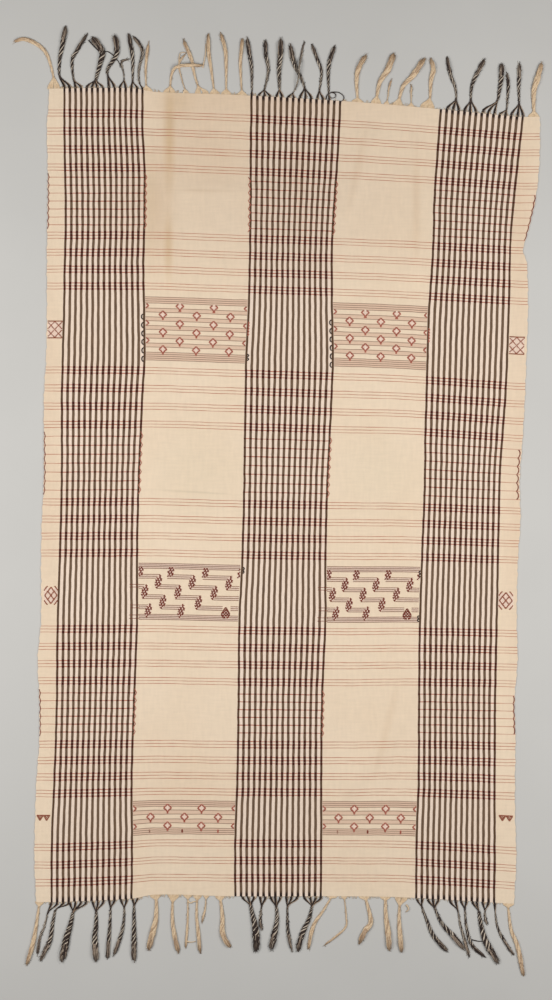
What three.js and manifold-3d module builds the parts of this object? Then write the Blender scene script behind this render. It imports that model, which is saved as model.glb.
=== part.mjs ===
// Akwete cloth: a wide handwoven cotton cloth with a warp fringe at each end, lying flat and face up.
// Millimetres, +Z up. X runs across the cloth, Y along its warp, and the origin is on the underside
// near the middle of the cloth. The tables give the cloth as it lies, a little skewed and uneven.
import * as THREE from "three";
import Module from "manifold-3d";

const wasm = await Module();
wasm.setup();

const CLOTH_THICKNESS = 1.5;
const CLOTH_TOP = 970;
const CLOTH_BOTTOM = -953;
const COLUMNS = 27;
const ROWS = 35;

const FRINGE_GAP = 0.3;
const ROOT_STRIP = 4;
const ROOT_DEPTH = 2.5;

const STRAND_STEPS = 5;
const STRAND_FLATNESS = 0.5;
const STRAND_MIN_HEIGHT = 2.6;
const STRAND_MAX_HEIGHT = 7;
const STRAND_CROWN = 0.6;
const LEG_WIDTH = 4.4;
const LEG_HEIGHT = 2.4;
const LEG_INTO_NECK = 3;
const HOP_LIFT = 6;
const HOP_REACH = 0.3;

const CREAM = "#e0cda9";
const FRINGE_BROWN = "#8d7a66";

// Turns a header and its rows into records with named columns.
function table(columns, rows) {
  return rows.map((row) => Object.fromEntries(columns.map((name, i) => [name, row[i]])));
}

// The two selvedges, by height up the cloth as it lies.
const SELVEDGES = table(
  ["y", "left", "right"],
  [
    [-962, -590, 557],
    [-871, -594, 562],
    [-763, -592, 559],
    [-679, -589, 559],
    [-583, -582, 560],
    [-487, -582, 558],
    [-391, -586, 565],
    [-295, -578, 563],
    [-151, -578, 566],
    [-55, -576, 572],
    [41, -571, 570],
    [137, -571, 577],
    [245, -571, 583],
    [329, -566, 586],
    [449, -564, 590],
    [564, -564, 587],
    [593, -564, 578],
    [629, -563, 588],
    [713, -562, 608],
    [797, -562, 617],
    [886, -564, 619],
    [953, -559, 617],
  ],
);

// How far a weft thread lies above or below its level, at seven stations across the cloth.
const SAG_STATIONS = [-545, -365, -302, -115, 161, 300, 571];
const SAG = table(
  ["level", "s0", "s1", "s2", "s3", "s4", "s5", "s6"],
  [
    [-953, -19, -11, -1, -5, -5, -8, -24],
    [-912, -13, -5, 0, -2, -2, -4, -21],
    [-829, -12, -5, -1, -2, -3, -5, -21],
    [-593, 0, 1, 2, -1, -2, 0, -6],
    [-317, 0, 1, 1, -3, -6, -5, -11],
    [-12, 0, 1, 1, -4, -9, -11, -22],
    [173, 1, 1, 2, -4, -12, -15, -33],
    [301, 4, 3, 2, -4, -13, -18, -36],
    [628, 0, 0, 0, -7, -16, -22, -37],
    [914, 7, 6, 3, -4, -19, -28, -49],
    [970, 10, 11, 2, -5, -21, -32, -58],
  ],
);

// Soft ridges left by old folds: a line on the cloth, its height and its reach to each side.
const CREASES = table(
  ["fromX", "fromY", "toX", "toY", "height", "reach"],
  [
    [-269, 880, -271, 540, 5, 44],
    [-317, 850, -278, 650, 3.5, 40],
    [43, 860, 38, 610, 3, 42],
    [216, 860, 151, 690, 4, 44],
    [324, 840, 322, 540, 3.5, 42],
    [-288, 300, -286, 40, 3, 40],
    [-240, 737, -80, 733, 2.5, 36],
    [-310, -8, -120, -12, 2.5, 36],
    [288, -320, 283, -535, 4, 44],
    [283, -535, 163, -690, 4, 44],
  ],
);

// One row for each strand. root is its place along the end, legs are the places of the warp bundles
// that gather into it, counted from the root, and neck is how far out they meet. wide is its greatest
// width. Its course is kneeX/kneeOut, bendX/bendOut and tipX/tipOut, sideways from the root and out
// from the end of the cloth. hop is the part of the course where it lies over another strand.
const STRAND = ["root", "legs", "neck", "wide", "kneeX", "kneeOut", "bendX", "bendOut", "tipX", "tipOut", "hop"];

const TOP_STRANDS = table(STRAND, [
  [-542, [-14, 2], 30, 10, -24, 85, -72, 118, -102, 112, 0],
  [-535, [13, 26], 32, 12, 1, 64, 7, 98, 16, 151, 0],
  [-497, [1, 15], 20, 10, -7, 62, 5, 90, 29, 129, 0],
  [-452, [-18, -5, 8, 21], 20, 16, 17, 64, 20, 88, -4, 124, 0],
  [-414, [-2, 11], 34, 14, -5, 42, 17, 81, 13, 126, 0],
  [-378, [-12, 2], 20, 5, -2, 35, -7, 61, 11, 70, 0],
  [-359, [-3, 12], 16, 10, 1, 64, -4, 104, -10, 132, 0],
  [-340, [6], 14, 9, -4, 44, 5, 92, -17, 127, 0],
  [-326, [0, 9], 12, 7, -1, 50, 2, 88, 6, 115, 0],
  [-269, [-9, 7], 16, 9, 5, 47, 24, 63, 80, 65, 0.66],
  [-230, [0], 10, 4, -10, 32, -17, 70, 0, 96, 0],
  [-196, [-6, 14], 20, 9, -14, 46, -22, 84, -41, 130, 0],
  [-162, [-5, 6], 14, 9, -8, 60, -14, 100, -15, 145, 0],
  [-134, [-6, 6], 14, 9, 0, 68, -2, 107, -13, 147, 0],
  [-96, [-5, 5], 12, 8, -4, 71, -2, 102, 1, 137, 0],
  [-72, [-1], 14, 10, -1, 64, -6, 100, -12, 139, 0],
  [-46, [-11, 4, 17], 16, 10, 13, 60, 7, 101, 6, 136, 0],
  [-5, [-9, 5], 20, 14, -2, 58, 1, 104, 2, 142, 0],
  [62, [-20, -6, 8], 28, 12, -14, 45, -32, 82, -43, 130, 0],
  [20, [-6, 8], 12, 6, 17, 35, 22, 79, 33, 134, 0.45],
  [86, [-2, 12], 22, 9, 9, 62, 0, 93, -15, 131, 0],
  [113, [0], 12, 10, -2, 63, 2, 96, 14, 132, 0],
  [182, [-8, 6], 10, 12, -3, 55, 4, 86, 21, 113, 0],
  [226, [-6, 5], 20, 15, 8, 49, 28, 81, 42, 121, 0],
  [251, [0], 8, 4, 4, 24, 6, 40, 12, 60, 0],
  [278, [-6, 5], 18, 14, 12, 44, 36, 71, 65, 113, 0],
  [310, [0], 8, 4, 0, 22, 0, 37, 1, 52, 0],
  [355, [-17, -6, 4], 26, 12, 2, 62, 8, 93, 2, 118, 0],
  [418, [-23, -8, 6], 28, 10, -1, 49, -13, 84, -22, 130, 0],
  [454, [-17, -3, 11], 30, 11, 0, 53, 10, 84, 32, 126, 0],
  [514, [-34, -20, -5], 36, 13, 7, 53, 12, 87, 13, 124, 0],
  [538, [-16, -2], 14, 8, 4, 53, 5, 77, 2, 102, 0],
  [571, [-22, -6, 7], 34, 10, -3, 60, -2, 94, -1, 129, 0],
  [605, [-8, 5], 14, 15, -1, 58, 7, 90, 19, 130, 0],
]);

const BOTTOM_STRANDS = table(STRAND, [
  [-582, [-3, 4], 10, 11, -8, 58, -16, 101, -31, 152, 0],
  [-557, [3, 18], 26, 7, -12, 55, -24, 86, -30, 127, 0],
  [-540, [16, 30], 20, 12, -10, 49, -17, 92, -40, 140, 0],
  [-497, [-13, 1, 15, 28], 28, 18, -10, 53, -20, 89, -31, 144, 0],
  [-446, [-9, 4, 18], 28, 15, 0, 53, -3, 90, 0, 146, 0],
  [-410, [-5, 8], 20, 10, -3, 59, -6, 98, -9, 143, 0],
  [-378, [-9, 5], 22, 10, -2, 55, -10, 91, -26, 135, 0],
  [-355, [-4, 8], 18, 13, 0, 59, 0, 104, 0, 152, 0],
  [-302, [-9, 4], 14, 15, 0, 52, -8, 90, -19, 133, 0],
  [-262, [-4, 9], 20, 11, -1, 57, 4, 98, 14, 140, 0],
  [-226, [-4, 3], 10, 6, 0, 49, -2, 90, -5, 129, 0],
  [-203, [-4, 4], 12, 9, -2, 49, 2, 89, 7, 139, 0],
  [-182, [0], 8, 5, -2, 30, -6, 47, -10, 64, 0],
  [-149, [-5, 5], 12, 13, 6, 49, 7, 92, 26, 124, 0],
  [-79, [-17, -3, 12], 22, 18, 8, 43, 16, 82, 17, 132, 0],
  [-47, [-6, 7], 26, 8, -4, 43, -5, 60, -2, 80, 0],
  [-16, [-12, -1, 12], 26, 15, 4, 48, -1, 84, -11, 128, 0],
  [13, [-3, 10, 24], 26, 9, 0, 52, 2, 88, 11, 131, 0],
  [76, [-24, -9, 5, 18], 26, 14, -10, 50, -27, 89, -38, 133, 0],
  [120, [-3, 6], 6, 9, -22, 36, -45, 72, -57, 127, 0],
  [149, [0], 8, 5, 5, 48, 1, 78, -47, 117, 0],
  [199, [-8, 4], 10, 13, 14, 59, 0, 83, -13, 114, 0],
  [248, [-7, 6], 8, 14, 1, 42, 6, 84, 11, 129, 0],
  [283, [-5, 12], 22, 12, -2, 48, 0, 88, 4, 132, 0],
  [328, [-5, 8], 22, 11, 19, 52, 36, 91, 70, 129, 0],
  [358, [-9, 4, 17], 24, 13, 23, 55, 49, 85, 79, 121, 0],
  [420, [-18, -4], 26, 8, 6, 51, 15, 84, 30, 135, 0],
  [438, [-9, 4], 20, 9, 4, 59, 17, 105, 50, 136, 0],
  [470, [-14, -3], 24, 16, 7, 53, 20, 98, 49, 148, 0],
  [487, [-6, 8], 22, 7, 0, 25, 1, 40, 4, 54, 0],
  [510, [0], 26, 8, 6, 54, 23, 91, 48, 128, 0],
  [542, [-6, 8], 10, 11, 7, 60, 23, 103, 38, 175, 0],
]);

// Smooth value between the points of a course that is sorted by place.
function smooth(places, values, at) {
  const last = places.length - 1;
  let i = 0;
  while (i < last - 1 && at > places[i + 1]) i += 1;
  const span = places[i + 1] - places[i];
  const t = Math.min(Math.max((at - places[i]) / span, 0), 1);
  const before = Math.max(i - 1, 0);
  const after = Math.min(i + 2, last);
  const slopeIn = ((values[i + 1] - values[before]) / (places[i + 1] - places[before])) * span;
  const slopeOut = ((values[after] - values[i]) / (places[after] - places[i])) * span;
  const t2 = t * t;
  const t3 = t2 * t;
  return (
    (2 * t3 - 3 * t2 + 1) * values[i] +
    (t3 - 2 * t2 + t) * slopeIn +
    (3 * t2 - 2 * t3) * values[i + 1] +
    (t3 - t2) * slopeOut
  );
}

function column(rows, name) {
  return rows.map((row) => row[name]);
}

const SELVEDGE_Y = column(SELVEDGES, "y");
const LEFT_X = column(SELVEDGES, "left");
const RIGHT_X = column(SELVEDGES, "right");
const SAG_LEVELS = column(SAG, "level");
const SAG_COLUMNS = SAG_STATIONS.map((_, i) => column(SAG, `s${i}`));

// How far the weft of a level lies from that level at x.
function sag(level, x) {
  const here = SAG_COLUMNS.map((values) => smooth(SAG_LEVELS, values, level));
  return smooth(SAG_STATIONS, here, x);
}

// Where a point of the cloth lies: across is 0 to 1 between the selvedges, level is its weft.
function lie(across, level) {
  const roughX = THREE.MathUtils.lerp(
    smooth(SELVEDGE_Y, LEFT_X, level),
    smooth(SELVEDGE_Y, RIGHT_X, level),
    across,
  );
  const y = level + sag(level, roughX);
  const x = THREE.MathUtils.lerp(smooth(SELVEDGE_Y, LEFT_X, y), smooth(SELVEDGE_Y, RIGHT_X, y), across);
  return new THREE.Vector2(x, y);
}

// Height of the soft ridges at a point of the cloth.
function lift(point) {
  let highest = 0;
  for (const crease of CREASES) {
    const from = new THREE.Vector3(crease.fromX, crease.fromY, 0);
    const line = new THREE.Line3(from, new THREE.Vector3(crease.toX, crease.toY, 0));
    const here = new THREE.Vector3(point.x, point.y, 0);
    const away = line.closestPointToPoint(here, true, new THREE.Vector3()).distanceTo(here);
    if (away < crease.reach) {
      const rise = (crease.height * (1 + Math.cos((Math.PI * away) / crease.reach))) / 2;
      highest = Math.max(highest, rise);
    }
  }
  return highest;
}

// A closed sheet over a grid of points, grid[row][column], with the thickness above its underside.
function sheetMesh(grid, thickness) {
  const rows = grid.length;
  const columns = grid[0].length;
  const positions = [];
  for (const above of [0, thickness]) {
    for (const row of grid) {
      for (const point of row) positions.push(point.x, point.y, point.z + above);
    }
  }
  const topStart = rows * columns;
  const triangles = [];
  const quad = (a, b, c, d) => triangles.push(a, b, c, a, c, d);
  for (let r = 0; r + 1 < rows; r += 1) {
    for (let c = 0; c + 1 < columns; c += 1) {
      const a = r * columns + c;
      const b = a + 1;
      const far = a + columns;
      quad(topStart + a, topStart + b, topStart + far + 1, topStart + far);
      quad(a, far, far + 1, b);
    }
  }
  const rim = [];
  for (let c = 0; c < columns; c += 1) rim.push(c);
  for (let r = 1; r < rows; r += 1) rim.push(r * columns + columns - 1);
  for (let c = columns - 2; c >= 0; c -= 1) rim.push((rows - 1) * columns + c);
  for (let r = rows - 2; r > 0; r -= 1) rim.push(r * columns);
  rim.forEach((here, i) => {
    const next = rim[(i + 1) % rim.length];
    quad(here, next, topStart + next, topStart + here);
  });
  return { positions, triangles };
}

// A closed bar of four sides. Each ring has a centre, a direction, a width and a height, and its
// flat underside is at the centre's height.
function barMesh(rings) {
  const positions = [];
  const triangles = [];
  for (const ring of rings) {
    const side = new THREE.Vector2(ring.along.y, -ring.along.x).normalize();
    const corners = [
      [-ring.width / 2, 0],
      [ring.width / 2, 0],
      [(ring.width * STRAND_CROWN) / 2, ring.height],
      [(-ring.width * STRAND_CROWN) / 2, ring.height],
    ];
    for (const [across, up] of corners) {
      positions.push(ring.x + side.x * across, ring.y + side.y * across, ring.z + up);
    }
  }
  const quad = (a, b, c, d) => triangles.push(a, b, c, a, c, d);
  for (let r = 0; r + 1 < rings.length; r += 1) {
    for (let k = 0; k < 4; k += 1) {
      const a = r * 4 + k;
      const b = r * 4 + ((k + 1) % 4);
      quad(a, a + 4, b + 4, b);
    }
  }
  const end = (rings.length - 1) * 4;
  quad(0, 1, 2, 3);
  quad(end, end + 3, end + 2, end + 1);
  return { positions, triangles };
}

function toSolid(mesh) {
  return new wasm.Manifold(
    new wasm.Mesh({
      numProp: 3,
      vertProperties: new Float32Array(mesh.positions),
      triVerts: new Uint32Array(mesh.triangles),
    }),
  );
}

function toGeometry(positions, triangles) {
  const geometry = new THREE.BufferGeometry();
  geometry.setAttribute("position", new THREE.Float32BufferAttribute(positions, 3));
  geometry.setIndex(Array.from(triangles));
  geometry.computeVertexNormals();
  return geometry;
}

// Width of a strand along its course, as a share of its greatest: narrow at the neck, fullest near
// the end, and drawn together at the tip.
function fullness(t) {
  return smooth([0, 0.3, 0.7, 0.9, 1], [0.45, 0.66, 1, 0.9, 0.42], t);
}

function strandHeight(width) {
  return Math.min(Math.max(width * STRAND_FLATNESS, STRAND_MIN_HEIGHT), STRAND_MAX_HEIGHT);
}

// The line of an end of the cloth: its y at x.
function endLine(level, x) {
  return level + sag(level, x);
}

// The solids of one strand and of the legs that gather into it. out is 1 at the top, -1 at the bottom.
function strandSolids(strand, level, out) {
  const edge = endLine(level, strand.root);
  const place = (sideways, outward) => new THREE.Vector2(strand.root + sideways, edge + out * outward);
  const course = new THREE.SplineCurve([
    place(0, 0),
    place(strand.kneeX, strand.kneeOut),
    place(strand.bendX, strand.bendOut),
    place(strand.tipX, strand.tipOut),
  ]);
  const length = course.getLength();
  const neckAt = strand.neck / length;
  const rings = [];
  for (let i = 0; i <= STRAND_STEPS; i += 1) {
    const t = i / STRAND_STEPS;
    const at = neckAt + (1 - neckAt) * t;
    const centre = course.getPointAt(at);
    const width = strand.wide * fullness(t);
    const hop = strand.hop > 0 ? Math.max(0, 1 - Math.abs(at - strand.hop) / HOP_REACH) : 0;
    rings.push({
      x: centre.x,
      y: centre.y,
      z: HOP_LIFT * Math.min(1, hop * 2),
      along: course.getTangentAt(at),
      width,
      height: strandHeight(width),
    });
  }
  const solids = [toSolid(barMesh(rings))];
  const meet = course.getPointAt(neckAt + LEG_INTO_NECK / length);
  for (const leg of strand.legs) {
    const footX = strand.root + leg;
    const foot = new THREE.Vector2(footX, endLine(level, footX) + out * (FRINGE_GAP + ROOT_STRIP - ROOT_DEPTH));
    const section = { z: 0, width: LEG_WIDTH, height: LEG_HEIGHT };
    const rooted = { ...section, x: foot.x, y: foot.y, along: new THREE.Vector2(0, out) };
    const gathered = { ...section, x: meet.x, y: meet.y, along: meet.clone().sub(foot) };
    solids.push(toSolid(barMesh([rooted, gathered])));
  }
  return solids;
}

// The narrow strip beside an end of the cloth that holds the roots of its fringe.
function rootStrip(level, out) {
  const near = [];
  const far = [];
  for (let c = 0; c <= COLUMNS; c += 1) {
    const point = lie(c / COLUMNS, level);
    near.push(new THREE.Vector3(point.x, point.y + out * FRINGE_GAP, 0));
    far.push(new THREE.Vector3(point.x, point.y + out * (FRINGE_GAP + ROOT_STRIP), 0));
  }
  return toSolid(sheetMesh(out > 0 ? [near, far] : [far, near], CLOTH_THICKNESS));
}

function fringeGeometry(strands, level, out) {
  const solids = [rootStrip(level, out)];
  for (const strand of strands) solids.push(...strandSolids(strand, level, out));
  const joined = wasm.Manifold.union(solids).getMesh();
  return toGeometry(joined.vertProperties, joined.triVerts);
}

function clothGeometry() {
  const grid = [];
  for (let r = 0; r <= ROWS; r += 1) {
    const level = THREE.MathUtils.lerp(CLOTH_BOTTOM, CLOTH_TOP, r / ROWS);
    const row = [];
    for (let c = 0; c <= COLUMNS; c += 1) {
      const point = lie(c / COLUMNS, level);
      row.push(new THREE.Vector3(point.x, point.y, lift(point)));
    }
    grid.push(row);
  }
  const { positions, triangles } = sheetMesh(grid, CLOTH_THICKNESS);
  return toGeometry(positions, triangles);
}

function part(name, geometry, color, roughness) {
  const mesh = new THREE.Mesh(geometry, new THREE.MeshStandardMaterial({ color, roughness, metalness: 0 }));
  mesh.name = name;
  return mesh;
}

const akwete = new THREE.Group();
akwete.add(part("cloth", clothGeometry(), CREAM, 0.9));
akwete.add(part("fringe_top", fringeGeometry(TOP_STRANDS, CLOTH_TOP, 1), FRINGE_BROWN, 0.95));
akwete.add(part("fringe_bottom", fringeGeometry(BOTTOM_STRANDS, CLOTH_BOTTOM, -1), FRINGE_BROWN, 0.95));

export default akwete;
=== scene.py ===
"""Akwete cloth: a wide handwoven cotton cloth with a warp fringe at each end, lying flat, face up.

The tables give places in millimetres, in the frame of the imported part: X across the cloth, Y along
its warp, Z up from the surface that it lies on. Places on the cloth itself are woven places: how far
a thread lies from the left selvedge, and the level of a weft thread up the cloth. Blender works in
metres, so the meshes are scaled by MM where they are made.
"""

import functools
import logging
import math
import random
from collections.abc import Callable, Sequence
from dataclasses import dataclass, field
from enum import Enum

import bpy
import numpy as np
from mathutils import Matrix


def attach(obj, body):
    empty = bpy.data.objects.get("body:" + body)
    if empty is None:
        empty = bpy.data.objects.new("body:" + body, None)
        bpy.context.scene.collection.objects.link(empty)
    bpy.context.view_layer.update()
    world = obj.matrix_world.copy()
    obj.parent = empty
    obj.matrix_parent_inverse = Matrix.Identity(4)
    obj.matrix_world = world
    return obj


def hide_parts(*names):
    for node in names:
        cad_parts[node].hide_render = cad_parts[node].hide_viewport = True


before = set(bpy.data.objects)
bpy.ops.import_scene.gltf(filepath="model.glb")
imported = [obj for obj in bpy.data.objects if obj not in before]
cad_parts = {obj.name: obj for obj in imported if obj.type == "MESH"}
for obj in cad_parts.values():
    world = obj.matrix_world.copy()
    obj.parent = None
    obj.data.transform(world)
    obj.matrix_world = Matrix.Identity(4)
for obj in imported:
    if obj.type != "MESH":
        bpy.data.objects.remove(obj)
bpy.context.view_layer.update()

# What can feed a node's input: another node, a socket of one, or a value.
Feed = bpy.types.Node | bpy.types.NodeSocket | float
Tree = bpy.types.NodeTree

LOG = logging.getLogger("akwete")
MM = 0.001
BAKE_MAP = "OFBake"
WOVEN_MAP = "Woven"

CLOTH_TOP = 970.0
CLOTH_BOTTOM = -953.0
CLOTH_THICKNESS = 1.5

# The two selvedges, by height up the cloth as it lies: y, left, right.
SELVEDGES = np.array([
    [-962, -590, 557], [-871, -594, 562], [-763, -592, 559], [-679, -589, 559], [-583, -582, 560],
    [-487, -582, 558], [-391, -586, 565], [-295, -578, 563], [-151, -578, 566], [-55, -576, 572],
    [41, -571, 570], [137, -571, 577], [245, -571, 583], [329, -566, 586], [449, -564, 590],
    [564, -564, 587], [593, -564, 578], [629, -563, 588], [713, -562, 608], [797, -562, 617],
    [886, -564, 619], [953, -559, 617],
], float)

# The first and last stripe of the left, middle and right band, by height: y, then the six places.
BANDS = np.array([
    [-962, -553, -361, -112, 93, 322, 509],
    [-823, -552, -360, -112, 94, 323, 510],
    [-679, -546, -361, -107, 94, 328, 510],
    [-487, -540, -355, -104, 96, 329, 511],
    [-295, -538, -348, -102, 104, 331, 515],
    [-151, -533, -348, -95, 104, 336, 518],
    [41, -528, -344, -90, 109, 343, 522],
    [137, -528, -340, -89, 114, 344, 528],
    [245, -528, -335, -87, 119, 347, 536],
    [329, -526, -330, -86, 122, 349, 540],
    [449, -523, -331, -80, 120, 353, 544],
    [564, -521, -333, -77, 119, 361, 547],
    [629, -519, -331, -76, 121, 364, 549],
    [713, -519, -330, -75, 126, 366, 556],
    [797, -521, -330, -75, 132, 371, 565],
    [886, -522, -335, -74, 137, 378, 575],
    [953, -522, -335, -73, 140, 383, 583],
], float)

# How far a weft thread lies above or below its level, at seven stations across the cloth.
SAG_STATIONS = np.array([-545, -365, -302, -115, 161, 300, 571], float)
SAG = np.array([
    [-953, -19, -11, -1, -5, -5, -8, -24],
    [-912, -13, -5, 0, -2, -2, -4, -21],
    [-829, -12, -5, -1, -2, -3, -5, -21],
    [-593, 0, 1, 2, -1, -2, 0, -6],
    [-317, 0, 1, 1, -3, -6, -5, -11],
    [-12, 0, 1, 1, -4, -9, -11, -22],
    [173, 1, 1, 2, -4, -12, -15, -33],
    [301, 4, 3, 2, -4, -13, -18, -36],
    [628, 0, 0, 0, -7, -16, -22, -37],
    [914, 7, 6, 3, -4, -19, -28, -49],
    [970, 10, 11, 2, -5, -21, -32, -58],
], float)

# Soft ridges left by old folds: from x, y, to x, y, height and reach to each side.
CREASES = np.array([
    [-269, 880, -271, 540, 5, 44],
    [-317, 850, -278, 650, 3.5, 40],
    [43, 860, 38, 610, 3, 42],
    [216, 860, 151, 690, 4, 44],
    [324, 840, 322, 540, 3.5, 42],
    [-288, 300, -286, 40, 3, 40],
    [-240, 737, -80, 733, 2.5, 36],
    [-310, -8, -120, -12, 2.5, 36],
    [288, -320, 283, -535, 4, 44],
    [283, -535, 163, -690, 4, 44],
], float)

# The slight cockle of the whole cloth: its height, and how long its waves are each way.
COCKLE = 0.7
COCKLE_ACROSS = (47.0, 83.0)
COCKLE_ALONG = (61.0, 71.0)


class Dye(Enum):
    """The yarn's colours, in the order of the yarn pieces' material slots."""

    CREAM = 0
    TAN = 1
    BLACK = 2
    RED = 3
    PINK = 4
    BROWN = 5
    RUSSET = 6
    GREY = 7
    BRICK = 8
    DUN = 9


class Kind(Enum):
    """What a strand of the fringe is plied from: cream warp ends alone, or black and cream ones."""

    CREAM = "C"
    DARK = "D"


@dataclass(frozen=True)
class Warp:
    """Woven places across the cloth: the selvedges and the first and last stripe of each band."""

    left: float = 0.0
    l_first: float = 43.0
    l_last: float = 227.0
    m_first: float = 481.0
    m_last: float = 680.0
    r_first: float = 915.0
    r_last: float = 1094.0
    right: float = 1141.0
    l_count: int = 15
    m_count: int = 16
    r_count: int = 15

    @property
    def places(self) -> np.ndarray:
        """The eight places from selvedge to selvedge."""
        return np.array([
            self.left, self.l_first, self.l_last, self.m_first,
            self.m_last, self.r_first, self.r_last, self.right,
        ])

    @property
    def bands(self) -> list[tuple[float, float, int]]:
        """First stripe, last stripe and number of stripes of each band."""
        return [
            (self.l_first, self.l_last, self.l_count),
            (self.m_first, self.m_last, self.m_count),
            (self.r_first, self.r_last, self.r_count),
        ]

    @property
    def panels(self) -> list[tuple[float, float]]:
        """The two plain cream panels, from stripe to stripe."""
        return [(self.l_last, self.m_first), (self.m_last, self.r_first)]


WARP = Warp()


@dataclass(frozen=True)
class Bars:
    """A run of like weft bars: the level of the first, the step down to the next, and their number."""

    first: float
    pitch: float
    count: int

    @property
    def levels(self) -> list[float]:
        """The level of each bar."""
        return [self.first - self.pitch * k for k in range(self.count)]


# The red weft: groups of three lines, and single lines that make a grid in the bands.
TRIPLES = [
    Bars(914, 41.9, 4), Bars(628, 40.9, 4), Bars(301, 42.6, 4), Bars(-12, 40.9, 4),
    Bars(-317, 41.5, 4), Bars(-593, 37.8, 4), Bars(-829, 41.7, 3),
]
TRIPLE_STEP = 7.3
GRIDS = [Bars(765, 18.7, 7), Bars(145, 21.4, 7), Bars(-471, 18.7, 6)]

# Where the diamonds of a row stand, in shares of the panel's width: wide rows and narrow rows by turns.
DIAMOND_PLACES = ((0.008, 0.343, 0.668, 0.994), (0.18, 0.505, 0.828))


@dataclass(frozen=True)
class DiamondPanel:
    """A panel of diamonds between thin brown lines: its rows of diamonds and its lines, by level."""

    diamonds: Bars
    top_row_cut: bool
    pairs: Bars
    head: Bars
    foot: Bars
    pair_gap: float = 9.6


DIAMOND_PANELS = [
    DiamondPanel(
        Bars(457.4, 21.0, 6), top_row_cut=True, pairs=Bars(447.3, 21.1, 5),
        head=Bars(479.5, 5.0, 4), foot=Bars(345.5, 4.8, 5),
    ),
    DiamondPanel(
        Bars(-746.4, 21.0, 3), top_row_cut=False, pairs=Bars(-755.8, 21.0, 2),
        head=Bars(-728.2, 4.6, 4), foot=Bars(-793.5, 4.8, 4),
    ),
]

# Marks at the foot of the lower diamond panels: share of the panel's width, and dye.
FOOT_TICKS = ((0.17, Dye.BROWN), (0.485, Dye.RUSSET), (0.83, Dye.RED))
FOOT_TICK_LEVEL = -800.5

# The key panels, in shares of the panel's width from its left band: the picks of its head and foot,
# the bars of each row, the leaves between the rows, and the one drop.
KEY_HEAD = Bars(-160.0, 2.0, 7)
KEY_FOOT = Bars(-282.5, 2.0, 7)
KEY_ROWS = Bars(-191.2, 24.5, 4)
KEY_BAR_PICKS = 5
KEY_BAR_STEP = 2.3
KEY_LEAF_WIDTH = 22.0
KEY_TOP_LEAF = 20.0
KEY_LEAF = 32.0
KEY_BARS = (
    ((0.01, 0.22), (0.29, 0.54), (0.63, 0.91)),
    ((0.01, 0.07), (0.19, 0.41), (0.51, 0.76), (0.86, 1.0)),
    ((0.05, 0.25), (0.37, 0.62), (0.74, 1.0)),
    ((0.01, 0.11), (0.24, 0.46), (0.59, 0.83), (0.91, 1.0)),
)
KEY_LEAVES = (
    (-180.0, (0.03, 0.322, 0.652, 0.99)),
    (-203.8, (0.205, 0.529, 0.882)),
    (-227.7, (0.074, 0.394, 0.744)),
    (-252.2, (0.248, 0.594)),
    (-273.2, (0.109, 0.429)),
)
KEY_DROP = (0.862, -275.0)

# Figures in the margins: which, place across and level.
MARGIN_FIGURES = (
    ("box", 21.0, 399.0),
    ("box", 1116.5, 399.0),
    ("star", 24.0, -236.0),
    ("star", 1114.8, -236.0),
    ("triangles", 20.0, -762.0),
    ("triangles", 1120.0, -757.0),
)

# Zigzags of the turning weft beside the bands: place, zone, how far they swing to each side, and dye.
ZIGZAGS = (
    (WARP.l_last + 3.0, GRIDS[0], 2.6, Dye.RED),
    (WARP.m_first - 3.0, GRIDS[0], 2.6, Dye.RED),
    (WARP.m_last + 3.0, GRIDS[0], 2.6, Dye.RED),
    (WARP.l_last + 3.0, GRIDS[1], 2.8, Dye.RED),
    (WARP.m_last + 3.0, GRIDS[1], 2.8, Dye.RED),
    (WARP.l_last + 3.0, GRIDS[2], 2.6, Dye.RED),
    (WARP.m_last + 3.0, GRIDS[2], 2.6, Dye.RED),
    (WARP.left + 1.6, GRIDS[0], 1.6, Dye.RUSSET),
    (WARP.left + 1.6, GRIDS[1], 1.4, Dye.RUSSET),
    (WARP.left + 1.6, GRIDS[2], 1.4, Dye.RUSSET),
)

# Small turns of weft: place, first level, step, number, dye, reach and share of the step.
EDGE_LOOPS = (
    (WARP.l_last - 1.5, 431.0, 20.4, 6, Dye.BLACK, -4.6, 0.32),
    (WARP.m_last - 1.5, 431.0, 20.4, 6, Dye.BLACK, -4.6, 0.32),
    (WARP.m_first - 1.0, 424.0, 7.0, 5, Dye.RED, 4.0, 0.34),
    (WARP.m_first + 1.0, 345.0, 9.0, 2, Dye.BLACK, 4.5, 0.34),
    (WARP.r_first - 1.0, 424.0, 7.0, 5, Dye.RED, 4.0, 0.34),
    (WARP.right - 8.0, 134.3, 21.4, 6, Dye.RUSSET, 5.0, 0.46),
    (WARP.right - 4.0, 755.6, 18.7, 6, Dye.RUSSET, 3.0, 0.46),
    (WARP.right - 4.0, -480.3, 18.7, 5, Dye.RUSSET, 3.0, 0.46),
    (WARP.r_first - 2.0, -172.0, 8.0, 2, Dye.BLACK, -4.0, 0.4),
    (WARP.r_first - 2.0, -282.0, 8.0, 2, Dye.BLACK, -4.0, 0.4),
    (WARP.m_first + 2.0, -168.0, 8.0, 2, Dye.BLACK, 3.0, 0.4),
)

# Short ends of the key panels' weft that run on into the band beside them: level and length.
KEY_ENDS = ((-210.5, 17.0), (-217.0, 17.0), (-260.0, 16.0), (-267.0, 16.0), (-284.0, 18.0), (-292.0, 18.0))


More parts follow.
